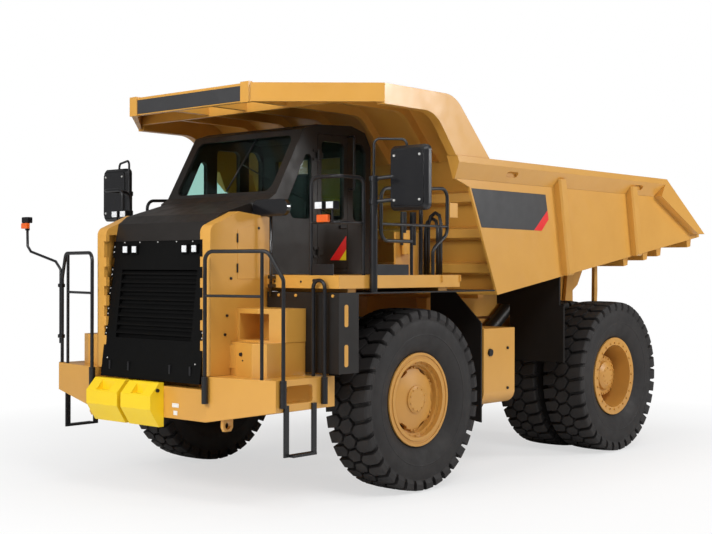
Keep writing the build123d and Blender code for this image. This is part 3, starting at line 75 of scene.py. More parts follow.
def new_material(name):
    """A material with a plain shader, its tree and that shader."""
    material = bpy.data.materials.new(name)
    material.use_nodes = True
    tree = material.node_tree
    tree.nodes.clear()
    out = tree.nodes.new("ShaderNodeOutputMaterial")
    shader = tree.nodes.new("ShaderNodeBsdfPrincipled")
    tree.links.new(shader.outputs[0], out.inputs[0])
    return material, tree, shader


def noise(tree, scale, detail=4.0, rough=0.55):
    """Noise over the object's own coordinates."""
    coord = tree.nodes.new("ShaderNodeTexCoord")
    node = tree.nodes.new("ShaderNodeTexNoise")
    node.inputs["Scale"].default_value = scale
    node.inputs["Detail"].default_value = detail
    node.inputs["Roughness"].default_value = rough
    tree.links.new(coord.outputs["Object"], node.inputs["Vector"])
    return node.outputs["Fac"]


def ramp(tree, source, low, high, low_value, high_value):
    """A source's span from low to high, mapped on to two values."""
    node = tree.nodes.new("ShaderNodeMapRange")
    node.inputs["From Min"].default_value = low
    node.inputs["From Max"].default_value = high
    node.inputs["To Min"].default_value = low_value
    node.inputs["To Max"].default_value = high_value
    tree.links.new(source, node.inputs["Value"])
    return node.outputs["Result"]


def mix(tree, factor, first, second):
    """Two colours blended by a factor."""
    node = tree.nodes.new("ShaderNodeMix")
    node.data_type = "RGBA"
    tree.links.new(factor, node.inputs["Factor"])
    for socket, value in ((node.inputs["A"], first), (node.inputs["B"], second)):
        if isinstance(value, tuple):
            socket.default_value = (*value, 1.0)
        else:
            tree.links.new(value, socket)
    return node.outputs["Result"]


def rounded_normal(tree, radius, bump_source, strength, distance):
    """Normals softened over edges within a radius, with a bump on top."""
    bevel = tree.nodes.new("ShaderNodeBevel")
    bevel.samples = 4
    bevel.inputs["Radius"].default_value = radius
    bump = tree.nodes.new("ShaderNodeBump")
    bump.inputs["Strength"].default_value = strength
    bump.inputs["Distance"].default_value = distance
    tree.links.new(bump_source, bump.inputs["Height"])
    tree.links.new(bevel.outputs["Normal"], bump.inputs["Normal"])
    return bump.outputs["Normal"]


MIDDLE = (0.3, 0.7)
PATCH_NOISE = (1.3, 5.0, 0.6)
PATCH_RANGE = (0.35, 0.75)
SHEEN_SCALE = 7.0
PEEL_NOISE = (160.0, 2.0)
PEEL_BUMP = (0.04, 0.002)
EDGE_ROUND = 0.006
COAT_ROUGH = 0.15


def paint(name, colour, dark, rough, coat=0.0, gloss=0.5):
    """Sprayed paint: a little dust in broad patches, fine orange peel, soft edges."""
    material, tree, shader = new_material(name)
    patches = ramp(tree, noise(tree, *PATCH_NOISE), *PATCH_RANGE, 0.0, 1.0)
    base = mix(tree, patches, colour, dark)
    tree.links.new(base, shader.inputs["Base Color"])
    sheen = ramp(tree, noise(tree, SHEEN_SCALE), *MIDDLE, rough - 0.05, rough + 0.08)
    tree.links.new(sheen, shader.inputs["Roughness"])
    shader.inputs["Coat Weight"].default_value = coat
    shader.inputs["Coat Roughness"].default_value = COAT_ROUGH
    shader.inputs["Specular IOR Level"].default_value = gloss
    peel = noise(tree, *PEEL_NOISE)
    tree.links.new(rounded_normal(tree, EDGE_ROUND, peel, *PEEL_BUMP), shader.inputs["Normal"])
    return material


YELLOW = (0.66, 0.335, 0.060)
YELLOW_DARK = (0.61, 0.300, 0.050)
# Colour, colour in the dusty patches, roughness and what else differs for each paint
PAINTS = {
    "body_yellow": (YELLOW, YELLOW_DARK, 0.36, {"coat": 0.25}),
    "block_yellow": ((0.90, 0.62, 0.01), (0.86, 0.58, 0.01), 0.4, {}),
    "rim_yellow": ((0.60, 0.30, 0.060), (0.52, 0.25, 0.05), 0.38, {}),
    "frame_yellow": ((0.62, 0.30, 0.055), (0.50, 0.24, 0.045), 0.5, {}),
    "engine_yellow": ((0.60, 0.29, 0.05), (0.45, 0.21, 0.04), 0.55, {}),
    "black_paint": ((0.013, 0.011, 0.010), (0.018, 0.015, 0.013), 0.42, {"gloss": 0.3}),
    "grille_black": ((0.002, 0.002, 0.002), (0.003, 0.003, 0.003), 0.6, {"gloss": 0.10}),
    "rail_black": ((0.008, 0.008, 0.010), (0.012, 0.012, 0.013), 0.33, {"gloss": 0.4}),
    "dark_steel": ((0.05, 0.045, 0.04), (0.08, 0.07, 0.055), 0.5, {}),
    "cab_plastic": ((0.02, 0.02, 0.02), (0.03, 0.03, 0.03), 0.6, {"gloss": 0.3}),
    "flap_rubber": ((0.008, 0.007, 0.006), (0.012, 0.010, 0.009), 0.6, {"gloss": 0.2}),
    "seat_fabric": ((0.02, 0.02, 0.022), (0.03, 0.03, 0.03), 0.9, {}),
    "zinc": ((0.62, 0.62, 0.60), (0.50, 0.50, 0.48), 0.35, {}),
    "label_white": ((0.80, 0.79, 0.76), (0.72, 0.71, 0.68), 0.45, {}),
    "visor_black": ((0.030, 0.030, 0.032), (0.036, 0.036, 0.038), 0.5, {}),
    "decal_red": ((0.80, 0.012, 0.014), (0.72, 0.012, 0.012), 0.4, {}),
    "decal_yellow": ((0.92, 0.72, 0.01), (0.86, 0.66, 0.01), 0.4, {}),
    "marker_orange": ((0.85, 0.13, 0.01), (0.75, 0.11, 0.01), 0.2, {"coat": 1.0}),
    "mirror_black": ((0.006, 0.006, 0.008), (0.009, 0.009, 0.010), 0.14, {"coat": 0.6}),
}
MATERIALS = {name: paint(name, *look, **others) for name, (*look, others) in PAINTS.items()}


def rubber():
    """Dull black rubber with dust and grain."""
    material, tree, shader = new_material("tyre_rubber")
    dust = ramp(tree, noise(tree, 3.0, 6.0, 0.65), 0.4, 0.7, 0.0, 1.0)
    base = mix(tree, dust, (0.017, 0.0155, 0.0155), (0.026, 0.023, 0.022))
    tree.links.new(base, shader.inputs["Base Color"])
    tree.links.new(ramp(tree, noise(tree, 9.0), *MIDDLE, 0.55, 0.72), shader.inputs["Roughness"])
    shader.inputs["Specular IOR Level"].default_value = 0.35
    grain = noise(tree, 90.0, 4.0)
    bump = tree.nodes.new("ShaderNodeBump")
    bump.inputs["Strength"].default_value = 0.12
    bump.inputs["Distance"].default_value = 0.003
    tree.links.new(grain, bump.inputs["Height"])
    tree.links.new(bump.outputs["Normal"], shader.inputs["Normal"])
    return material


def window_glass():
    """Pale green glass that hardly bends the light."""
    material, _, shader = new_material("window_glass")
    shader.inputs["Base Color"].default_value = (0.55, 0.75, 0.70, 1.0)
    shader.inputs["Roughness"].default_value = 0.02
    shader.inputs["Transmission Weight"].default_value = 1.0
    shader.inputs["IOR"].default_value = 1.1
    return material


def lamp_glass():
    """A pale lens over a bright bowl."""
    material, tree, shader = new_material("lamp_glass")
    ribs = ramp(tree, noise(tree, 40.0), *MIDDLE, 0.0, 1.0)
    base = mix(tree, ribs, (0.75, 0.78, 0.80), (0.92, 0.93, 0.94))
    tree.links.new(base, shader.inputs["Base Color"])
    shader.inputs["Roughness"].default_value = 0.12
    shader.inputs["Coat Weight"].default_value = 1.0
    return material


def chrome():
    """Bright metal with a little wear."""
    material, tree, shader = new_material("rod_chrome")
    shader.inputs["Base Color"].default_value = (0.6, 0.6, 0.62, 1.0)
    shader.inputs["Metallic"].default_value = 1.0
    tree.links.new(ramp(tree, noise(tree, 30.0), *MIDDLE, 0.10, 0.2), shader.inputs["Roughness"])
    return material


MATERIALS["tyre_rubber"] = rubber()
MATERIALS["window_glass"] = window_glass()
MATERIALS["rod_chrome"] = chrome()
MATERIALS["lamp_glass"] = lamp_glass()
MATERIALS["mirror_silver"] = chrome()

for subpart in frame["record"]["subparts"]:
    node = frame["nodes"][subpart["node"]]
    node.data.materials.clear()
    node.data.materials.append(MATERIALS[subpart["material_slot"]])


def add_piece(name, mesh, material, body):
    """A mesh object that rides on a body, with its material."""
    piece = bpy.data.objects.new(name, mesh)
    bpy.context.scene.collection.objects.link(piece)
    mesh.materials.append(MATERIALS[material])
    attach(piece, body)
    return piece


# Tyres: a carcass with sidewall ridges, and lugs that wrap over its shoulders

PITCHES = 35
PITCH = 2 * math.pi * TYRE_RADIUS / PITCHES
LUG_SKEW = 0.3
LUG_DRAFT = 0.007
LUG_ROOT = 0.006
BEAD_RADIUS = 0.4305
BEAD_X = 0.1846
TURNS_PER_PITCH = 4
LUG_EDGE = 0.0045
LUG_SHARP = 0.6
BOX_ROOM = 0.001
RIDGE_ROOM = 0.02
RIDGE_STEPS = (-2, -1, -0.4, 0.4, 1, 2)
# Width and radius of the carcass, from crown to bead
CARCASS = [(0.0, 0.922), (0.12, 0.919), (0.200, 0.909), (0.234, 0.892), (0.252, 0.862),
           (0.267, 0.82), (0.275, 0.76), (0.270, 0.69), (0.252, 0.62), (0.224, 0.56),
           (0.198, 0.522), (BEAD_X, 0.507)]
# Arc length, width and radius of the lugs' tops
LUG_TOPS = [(0.0, 0.0, TYRE_RADIUS - BOX_ROOM), (0.12, 0.12, 0.9620), (0.20, 0.205, 0.9585),
            (0.245, 0.262, 0.9520), (0.262, 0.276, 0.9370), (0.300, 0.282, 0.8850)]
# Columns of each lug: arc length from the crown, low and high length along the tread
CENTRE_LUG = [(-0.086, -0.008, 0.008), (-0.046, -0.069, 0.069), (0.046, -0.069, 0.069),
              (0.086, -0.008, 0.008)]
SHOULDER_LUG = [(0.078, -0.010, 0.010), (0.112, -0.066, 0.056), (0.175, -0.066, 0.062),
                (0.245, -0.058, 0.066), (0.262, -0.056, 0.066), (0.300, -0.054, 0.064)]
# Radius, rise and width of each ridge
SIDEWALL_RIDGES = [(0.872, 0.005, 0.006), (0.845, 0.004, 0.008), (0.690, 0.004, 0.005)]


def curve_through(points, steps):
    """Catmull-Rom samples through (x, r) points, steps to each span."""
    ends = [points[0]] + points + [points[-1]]
    samples = []
    for a, b, c, d in zip(ends, ends[1:], ends[2:], ends[3:]):
        for step in range(steps):
            t = step / steps
            samples.append(tuple(
                0.5 * (2 * b[i] + (c[i] - a[i]) * t
                       + (2 * a[i] - 5 * b[i] + 4 * c[i] - d[i]) * t * t
                       + (3 * b[i] - a[i] - 3 * c[i] + d[i]) * t ** 3) for i in range(2)))
    samples.append(points[-1])
    return samples


HALF_SECTION = curve_through(CARCASS, 5)


def section_at(u):
    """Point (x, r) and outward normal on the half section at an arc length from the crown."""
    side = -1 if u < 0 else 1
    left = abs(u)
    for first, second in zip(HALF_SECTION, HALF_SECTION[1:]):
        dx, dr = second[0] - first[0], second[1] - first[1]
        span = math.hypot(dx, dr)
        if left <= span:
            break
        left -= span
    t = left / span
    normal = (-dr / span, dx / span)
    return (side * (first[0] + dx * t), first[1] + dr * t), (side * normal[0], normal[1])


def turned(x, r, s):
    """The point at a width and radius, turned by a length along the tread."""
    angle = s / TYRE_RADIUS
    return Vector((x, -r * math.sin(angle), r * math.cos(angle)))


def lug_top(u):
    """Lug tops: a nearly flat crown, a square shoulder and a drop down the side."""
    side = -1 if u < 0 else 1
    for (u0, x0, r0), (u1, x1, r1) in zip(LUG_TOPS, LUG_TOPS[1:]):
        if abs(u) <= u1:
            break
    t = (abs(u) - u0) / (u1 - u0)
    return side * (x0 + (x1 - x0) * t), r0 + (r1 - r0) * t


def lug_foot(u):
    """Lug feet: sunk a little into the carcass."""
    (x, r), (nx, nr) = section_at(u)
    return x - nx * LUG_ROOT, r - nr * LUG_ROOT


def add_lug(bm, columns, middle):
    """One block from columns of (u, low s, high s)."""
    rows = []
    for u, low, high in columns:
        lean = middle - LUG_SKEW * u
        edge = -1 if u == columns[0][0] else 1 if u == columns[-1][0] else 0
        top = [bm.verts.new(turned(*lug_top(u), lean + s)) for s in (low, high)]
        foot = [bm.verts.new(turned(*lug_foot(u + edge * LUG_DRAFT), lean + s + draft))
                for s, draft in ((low, -LUG_DRAFT), (high, LUG_DRAFT))]
        rows.append((top, foot))
    faces = []
    for (top_a, foot_a), (top_b, foot_b) in zip(rows, rows[1:]):
        faces.append((top_a[0], top_b[0], top_b[1], top_a[1]))
        faces.append((foot_a[0], foot_b[0], top_b[0], top_a[0]))
        faces.append((top_a[1], top_b[1], foot_b[1], foot_a[1]))
        faces.append((foot_a[1], foot_b[1], foot_b[0], foot_a[0]))
    for (top, foot) in (rows[0], rows[-1]):
        faces.append((top[0], top[1], foot[1], foot[0]))
    return [bm.faces.new(face) for face in faces]


def pitch_of_lugs():
    """The centre hexagon and the two shoulder blocks of one pitch, their sharp edges rounded."""
    bm = bmesh.new()
    add_lug(bm, CENTRE_LUG, 0.0)
    add_lug(bm, [(-u, -high, -low) for u, low, high in reversed(SHOULDER_LUG)], PITCH / 2)
    add_lug(bm, SHOULDER_LUG, PITCH / 2)
    bmesh.ops.recalc_face_normals(bm, faces=bm.faces)
    sharp = [edge for edge in bm.edges if edge.calc_face_angle(0) > LUG_SHARP]
    bmesh.ops.bevel(bm, geom=sharp, offset=LUG_EDGE, segments=2, profile=0.6, affect="EDGES",
                    clamp_overlap=True)
    mesh = bpy.data.meshes.new("lug_pitch")
    bm.to_mesh(mesh)
    bm.free()
    return mesh


def carcass_outline():
    """The closed (x, r) outline, with narrow ridges raised on the sidewalls."""
    shoulder = SIDEWALL_RIDGES[0][0] + RIDGE_ROOM
    half = [(x, r) for x, r in HALF_SECTION if r > shoulder]
    lower = [(x, r) for x, r in HALF_SECTION if r <= shoulder]
    radii = sorted({round(r, 4) for _, r in lower}
                   | {round(ridge + step * width, 4) for ridge, _, width in SIDEWALL_RIDGES
                      for step in RIDGE_STEPS}, reverse=True)
    for r in radii:
        for (x0, r0), (x1, r1) in zip(HALF_SECTION, HALF_SECTION[1:]):
            if r1 <= r <= r0 and r0 > r1:
                x = x0 + (x1 - x0) * (r0 - r) / (r0 - r1)
                break
        bump = sum(rise * math.exp(-((r - ridge) / width) ** 2) for ridge, rise, width
                   in SIDEWALL_RIDGES)
        half.append((min(x + bump, TYRE_WIDTH / 2 - BOX_ROOM), r))
    half.append((BEAD_X, BEAD_RADIUS))
    return [(-x, r) for x, r in reversed(half[1:])] + half


def tyre_mesh():
    """The carcass turned about the axle, with every pitch of lugs on it."""
    bm = bmesh.new()
    outline = carcass_outline()
    turns = PITCHES * TURNS_PER_PITCH
    rings = []
    for turn in range(turns):
        angle = 2 * math.pi * turn / turns
        rings.append([bm.verts.new((x, -r * math.sin(angle), r * math.cos(angle)))
                      for x, r in outline])
    for ring, following in zip(rings, rings[1:] + rings[:1]):
        count = len(outline)
        for i in range(count):
            j = (i + 1) % count
            face = bm.faces.new((ring[i], ring[j], following[j], following[i]))
            face.smooth = True
    lugs = pitch_of_lugs()
    for pitch in range(PITCHES):
        start = len(bm.verts)
        bm.from_mesh(lugs)
        bm.verts.ensure_lookup_table()
        spin = Matrix.Rotation(2 * math.pi * pitch / PITCHES, 3, "X")
        for vertex in bm.verts[start:]:
            vertex.co = spin @ vertex.co
    bmesh.ops.recalc_face_normals(bm, faces=bm.faces)
    mesh = bpy.data.meshes.new("tyre")
    bm.to_mesh(mesh)
    bm.free()
    return mesh


def tyres():
    """The six tyres, all one mesh, turned about on the right-hand side."""
    mesh = tyre_mesh()
    mesh.materials.append(MATERIALS["tyre_rubber"])
    for side, word in SIDES:
        turn = Matrix.Rotation(0 if side > 0 else math.pi, 4, "Z")
        places = [("front", "", FRONT_TYRE_X, FRONT_Y), ("rear", "_outer", REAR_OUTER_X, REAR_Y),
                  ("rear", "_inner", REAR_INNER_X, REAR_Y)]
        for end, which, x, y in places:
            piece = bpy.data.objects.new(f"{end}_tyre{which}_tread_{word}", mesh)
            bpy.context.scene.collection.objects.link(piece)
            piece.matrix_world = Matrix.Translation((side * x, y, AXLE_Z)) @ turn
            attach(piece, f"{end}_wheel{'s' if end == 'rear' else ''}_{word}")
            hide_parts(f"{end}_tyre{'s' if end == 'rear' else ''}_{word}")


# Small pieces: sizes and places are in millimetres, and most are seated on a CAD face by a ray

FACES = {}
HEX = 6
ROUND = 16
FINE_ROUND = 24
HEAD_TAPER = 0.86
AFT = (0, 1, 0)
SIDE_START = 2400
FRONT_START = -2600
REAR_START = 7000
REAR_STATION = (REAR_Y - FRONT_Y) / MM


def spot(x, y, z):
    """A place given in millimetres, with its station behind the front axle."""
    return Vector((x * MM, at(y), z * MM))


def move(x, y, z):
    """A shift given in millimetres."""
    return Vector((x, y, z)) * MM


def on_face(node, start, aim):
    """Where a straight line from a start first meets a CAD node."""
    if node not in FACES:
        mesh = frame["nodes"][node].data
        FACES[node] = BVHTree.FromPolygons([vertex.co.copy() for vertex in mesh.vertices],
                                           [tuple(face.vertices) for face in mesh.polygons])
    return FACES[node].ray_cast(start, Vector(aim))[0]


def on_front(node, x, z):
    """The place on a node's front at a width and height."""
    return on_face(node, spot(x, FRONT_START, z), AFT)


def on_side(node, side, y, z):
    """The place on a node's left or right at a station and height."""
    return on_face(node, spot(side * SIDE_START, y, z), (-side, 0, 0))


def add_block(bm, low, high, edge=0):
    """A block between two corners, its edges rounded by so many millimetres."""
    made = bmesh.ops.create_cube(bm, size=1.0)["verts"]
    for vertex in made:
        vertex.co = Vector([(a + b) / 2 + c * abs(b - a)
                            for a, b, c in zip(low, high, vertex.co)])
    if edge:
        edges = list({line for vertex in made for line in vertex.link_edges})
        bmesh.ops.bevel(bm, geom=edges, offset=edge * MM, segments=2, profile=0.5,
                        affect="EDGES")


def add_disc(bm, foot, aim, radius, height, sides=ROUND, top=1.0):
    """A round or six-sided head that stands on its foot, its sizes in millimetres."""
    aim = Vector(aim).normalized()
    place = Matrix.Translation(Vector(foot) + aim * height * MM / 2)
    turn = aim.to_track_quat("Z", "Y").to_matrix().to_4x4()
    bmesh.ops.create_cone(bm, cap_ends=True, segments=sides, radius1=radius * MM,
                          radius2=radius * MM * top, depth=height * MM, matrix=place @ turn)


def add_sheet(bm, corners, thick):
    """A flat plate from its outer corners, thickened inwards along a direction."""
    outer = [bm.verts.new(corner) for corner in corners]
    inner = [bm.verts.new(corner + thick) for corner in corners]
    bm.faces.new(outer)
    bm.faces.new(list(reversed(inner)))
    for i, vertex in enumerate(outer):
        j = (i + 1) % len(outer)
        bm.faces.new((vertex, inner[i], inner[j], outer[j]))


def front_sheet(bm, outline, y, lift, thick):
    """A plate of (x, z) millimetres, lifted off a face at y: forwards, or backwards if below 0."""
    add_sheet(bm, [Vector((x * MM, y - lift * MM, z * MM)) for x, z in outline],
              move(0, thick, 0))


def side_sheet(bm, outline, side, x, lift, thick):
    """A plate of (station, z) millimetres, lifted outwards off a side face at x."""
    add_sheet(bm, [Vector((x + side * lift * MM, at(y), z * MM)) for y, z in outline],
              move(-side * thick, 0, 0))


def add_tube(bm, points, radius, sides=10):
    """A round bar through the points, mitred where it bends, its radius in millimetres."""
    radius = radius * MM
    rings = []
    for i, point in enumerate(points):
        before = (point - points[i - 1]).normalized() if i else None
        after = (points[i + 1] - point).normalized() if i + 1 < len(points) else None
        along = ((before or after) + (after or before)).normalized()
        reach = radius
        if before and after:
            reach = (radius + radius / max(along.dot(before), 0.3)) / 2
        if not rings:
            across = along.orthogonal().normalized()
        else:
            across = (across - along * across.dot(along)).normalized()
        other = along.cross(across)
        ring = []
        for side in range(sides):
            turn = 2 * math.pi * side / sides
            offset = across * math.cos(turn) + other * math.sin(turn)
            ring.append(bm.verts.new(point + offset * reach))
        rings.append(ring)
    for ring, following in zip(rings, rings[1:]):
        for i in range(sides):
            j = (i + 1) % sides
            face = bm.faces.new((ring[i], ring[j], following[j], following[i]))
            face.smooth = True
    bm.faces.new(list(reversed(rings[0])))
    bm.faces.new(rings[-1])


def round_outline(x0, x1, z0, z1, corner, steps=5):
    """Corners of a rounded rectangle in two directions."""
    points = []
    for cx, cz, start in ((x1 - corner, z1 - corner, 0), (x0 + corner, z1 - corner, 90),
                          (x0 + corner, z0 + corner, 180), (x1 - corner, z0 + corner, 270)):
        for part in range(steps + 1):
            turn = math.radians(start + 90 * part / steps)
            points.append((cx + corner * math.cos(turn), cz + corner * math.sin(turn)))
    return points


def finish_piece(name, bm, material, body):
    """Turn gathered shapes into one piece of a body."""
    bmesh.ops.recalc_face_normals(bm, faces=bm.faces)
    mesh = bpy.data.meshes.new(name)
    bm.to_mesh(mesh)
    bm.free()
    return add_piece(name, mesh, material, body)


def heads(name, node, starts, aim, radius, height, material, body, sides=HEX):
    """Bolt heads, knobs or studs, each seated where its line meets the node."""
    bm = bmesh.new()
    aim = Vector(aim)
    for start in starts:
        foot = on_face(node, start, aim)
        if foot is not None:
            add_disc(bm, foot + aim * MM, -aim, radius, height, sides, HEAD_TAPER)
    return finish_piece(name, bm, material, body)


def front_knobs(name, node, places, radius, height, material="rail_black"):
    """Round heads on a chassis node's front, at (x, z) places."""
    starts = [spot(x, FRONT_START, z) for x, z in places]
    return heads(name, node, starts, AFT, radius, height, material, "chassis", ROUND)


def side_heads(name, node, side, places, radius, height, material, body="chassis", sides=HEX):
    """Heads on a node's left or right, at (station, z) places."""
    starts = [spot(side * SIDE_START, y, z) for y, z in places]
    return heads(name, node, starts, (-side, 0, 0), radius, height, material, body, sides)


def circle(count, radius, station, first=0.0):
    """Places round an axle: station and height."""
    turns = [first + 2 * math.pi * part / count for part in range(count)]
    return [(station + radius * math.sin(turn), AXLE_Z / MM + radius * math.cos(turn))
            for turn in turns]


# Name, count, ring radius, head radius, head height and first turns of each ring
RIM_FASTENERS = {
    "front": (("studs", 6, 330, 15, 26, (-0.07, 0.07)), ("hub_bolts", 10, 118, 9, 9, (0.0,)),
              ("ring_bolts", 24, 384, 9, 10, (0.0,))),
    "rear": (("flange_bolts", 24, 236, 12, 14, (0.0,)), ("cap_bolts", 8, 98, 9, 9, (0.0,)),
             ("clamp_bolts", 24, 430, 13, 16, (0.0,))),
}


def wheel_fasteners():
    """Studs and bolts on the hubs and rims."""
    for side, word in SIDES:
        for end, plural, station in (("front", "", 0), ("rear", "s", REAR_STATION)):
            for name, count, ring, radius, height, turns in RIM_FASTENERS[end]:
                places = [place for turn in turns for place in circle(count, ring, station, turn)]
                side_heads(f"{end}_{name}_{word}", f"{end}_rim{plural}_{word}", side, places,
                           radius, height, "rim_yellow", f"{end}_wheel{plural}_{word}")


GRILLE_HEAD_BOLTS = (-599, -347, -55, 241, 490)
GRILLE_HEAD_Z = 2617
TAB_MIDDLES = (1684, 1890, 2106, 2305, 2545)
TAB_BOLT_X = 764
TAB_BOLT_SPREAD = 27
FOOT_BOLT = (700, 1400)
LAMP_PLACES = (-550, -400, 400, 550)
LAMP_Z = 2543
BEZEL_RISE = 62
BEZEL_BARS = ((-48, 48, 38, 48), (-48, 48, -48, -38), (-48, -38, -38, 38), (38, 48, -38, 38))
LATCH_PLACES = (-640, -330, 330, 640)
LATCH_Z = 1330


def grille_fittings():
    """Bolts along the grille's head and its tabs, lamp bezels and the lower latches."""
    places = [(x, GRILLE_HEAD_Z) for x in GRILLE_HEAD_BOLTS]
    for side, _ in SIDES:
        places += [(side * TAB_BOLT_X, z + shift) for z in TAB_MIDDLES
                   for shift in (-TAB_BOLT_SPREAD, TAB_BOLT_SPREAD)]
        places.append((side * FOOT_BOLT[0], FOOT_BOLT[1]))
    front_knobs("grille_bolts", "radiator_grille", places, 8, 6, "zinc")
    bm = bmesh.new()
    for x in LAMP_PLACES:
        face = on_front("radiator_grille", x, LAMP_Z - BEZEL_RISE)
        for x0, x1, z0, z1 in BEZEL_BARS:
            add_block(bm, face + move(x0, -22, z0 + BEZEL_RISE),
                      face + move(x1, 12, z1 + BEZEL_RISE))
    finish_piece("lamp_bezels", bm, "grille_black", "chassis")
    bm = bmesh.new()
    for x in LATCH_PLACES:
        face = on_front("radiator_grille", x, LATCH_Z)
        add_block(bm, face + move(-12, -14, -45), face + move(12, 10, 45), 3)
    finish_piece("grille_latches", bm, "rail_black", "chassis")


HOOD_KNOBS = ((-1866, 2247), (-1918, 1879), (-1944, 1692), (-1487, 2755))
HOOD_DOOR = ((-1776, 2240), (-1490, 2240), (-1490, 2800), (-1776, 2735))
HOOD_DOOR_MIDDLE = (-1640, 2450)
HOOD_HINGES = ((-1780, 2350), (-1780, 2650))


def hood_fittings():
    """The access door in each hood side, its hinges, and the round latches."""
    for side, word in SIDES:
        side_heads(f"hood_latches_{word}", "hood_sides", side, HOOD_KNOBS, 15, 13, "rail_black",
                   sides=ROUND)
        middle = on_side("hood_sides", side, *HOOD_DOOR_MIDDLE)
        bm = bmesh.new()
        side_sheet(bm, HOOD_DOOR, side, middle.x, 4, 6)
        finish_piece(f"hood_door_{word}", bm, "body_yellow", "chassis")
        bm = bmesh.new()
        for place in HOOD_HINGES:
            hinge = on_side("hood_sides", side, *place)
            add_disc(bm, hinge + move(side * 6, 0, -45), (0, 0, 1), 9, 90)
        finish_piece(f"hood_door_hinges_{word}", bm, "rail_black", "chassis")


BOX_PROBE = (960, 1480)
BOX_DOOR_X = (768, 1164)
BOX_DOOR_Z = (1359, 1594)
BOX_LATCH = (1103, 1505)
BOX_SCREW = (1131, 1446)


def step_box_fittings():
    """Doors, latches and screws on the front faces of the step boxes."""
    for side, word in SIDES:
        face = on_front("step_boxes", side * BOX_PROBE[0], BOX_PROBE[1])
        bm = bmesh.new()
        x0, x1 = sorted(side * x for x in BOX_DOOR_X)
        front_sheet(bm, round_outline(x0, x1, *BOX_DOOR_Z, 20), face.y, 4, 6)
        finish_piece(f"step_box_door_{word}", bm, "body_yellow", "chassis")
        front_knobs(f"step_box_latch_{word}", "step_boxes", [(side * BOX_LATCH[0], BOX_LATCH[1])],
                    20, 20)
        front_knobs(f"step_box_screw_{word}", "step_boxes", [(side * BOX_SCREW[0], BOX_SCREW[1])],
                    8, 10)


BUMPER_LABELS = ((380, 480, 957, 999), (400, 460, 881, 925))
BLOCK_BOLT_START = (600, -2262, 1120)
POCKET_BOLTS = ((-1935, 1080), (-1935, 1150), (-1935, 1215))


def bumper_fittings():
    """Blank labels, the bolt in one block's side and small bolts beside the step pockets."""
    bm = bmesh.new()
    for x0, x1, z0, z1 in BUMPER_LABELS:
        face = on_front("front_bumper", (x0 + x1) / 2, z0)
        half = (x1 - x0) / 2
        add_block(bm, face + move(-half, -1.5, 0), face + move(half, 1, z1 - z0))
    finish_piece("bumper_labels", bm, "label_white", "chassis")
    heads("block_bolts", "bumper_blocks", [spot(*BLOCK_BOLT_START)], (-1, 0, 0), 20, 20,
          "rail_black", "chassis", ROUND)
    for side, word in SIDES:
        side_heads(f"pocket_bolts_{word}", "front_bumper", side, POCKET_BOLTS, 9, 8,
                   "body_yellow")


FENDER_BOLTS = (1079, 1319, 1567, 1821)
FENDER_BOLT_Z = 2078
FENDER_FACE_X = 1900
FENDER_SLOT_Y = (-1290, -1235)
FENDER_SLOTS = ((1386, 1603), (1776, 1993))
DECK_PLUGS = (1020, 1388)
DECK_PLUG_Z = 2215
DECK_KNOB = (1582, 2226)


def fender_fittings():
    """The mudguards' bolts and yellow slot bars, and the plugs and knobs on the deck's front."""
    for side, word in SIDES:
        front_knobs(f"fender_bolts_{word}", "front_fenders",
                    [(side * x, FENDER_BOLT_Z) for x in FENDER_BOLTS], 17, 12, "body_yellow")
        bm = bmesh.new()
        for z0, z1 in FENDER_SLOTS:
            side_sheet(bm, round_outline(*FENDER_SLOT_Y, z0, z1, 20), side,
                       side * FENDER_FACE_X * MM, 1, 18)
        finish_piece(f"fender_bars_{word}", bm, "body_yellow", "chassis")
        front_knobs(f"deck_plugs_{word}", "deck_platform",
                    [(side * x, DECK_PLUG_Z) for x in DECK_PLUGS], 12, 5)
        front_knobs(f"deck_knob_{word}", "deck_platform", [(side * DECK_KNOB[0], DECK_KNOB[1])],
                    20, 24)


VISOR_PANEL_X = 845
VISOR_PANEL_Z = (4034, 4186)


def visor_fittings():
    """The bare black panel on the visor's fascia."""
    face = on_front("bed_canopy", 0, sum(VISOR_PANEL_Z) / 2)
    bm = bmesh.new()
    front_sheet(bm, round_outline(-VISOR_PANEL_X, VISOR_PANEL_X, *VISOR_PANEL_Z, 22), face.y, 4, 6)
    finish_piece("visor_panel", bm, "visor_black", "bed")


DECK_LAMPS = {"left": (1600, 1750), "right": (1370, 1520)}
DECK_LAMP_Y = -1360
DECK_LAMP_Z = 2965
MARKER_Y = (-1398, -1355)
MARKER_Z = (2800, 2875)


def deck_lamps():
    """Working lamps and orange markers on the front deck rails."""
    for side, word in SIDES:
        bm = bmesh.new()
        lens = bmesh.new()
        for x in DECK_LAMPS[word]:
            place = spot(side * (x + 50), DECK_LAMP_Y, DECK_LAMP_Z)
            add_block(bm, place + move(-52, -40, -40), place + move(52, 45, 40), 6)
            add_block(lens, place + move(-45, -46, -33), place + move(45, -36, 33), 4)
            add_disc(bm, place + move(0, 0, -160), (0, 0, 1), 10, 130)
        finish_piece(f"deck_lamp_cases_{word}", bm, "rail_black", "chassis")
        finish_piece(f"deck_lamp_lenses_{word}", lens, "lamp_glass", "chassis")
        bm = bmesh.new()
        low, high = sorted(side * (DECK_LAMPS[word][0] + reach) for reach in (20, 170))
        add_block(bm, spot(low, MARKER_Y[0], MARKER_Z[0]), spot(high, MARKER_Y[1], MARKER_Z[1]), 8)
        finish_piece(f"deck_marker_{word}", bm, "marker_orange", "chassis")


DOOR_PANEL = (-180, 2480)
DECAL_RED = ((-371, 2437), (-221, 2437), (-111, 2557), (-111, 2707))
DECAL_YELLOW = ((-221, 2437), (-111, 2437), (-111, 2557))
DOOR_HANDLE = (-170, 2800)
GRAB_BAR_Y = -60
GRAB_BAR_Z = (3220, 3800)


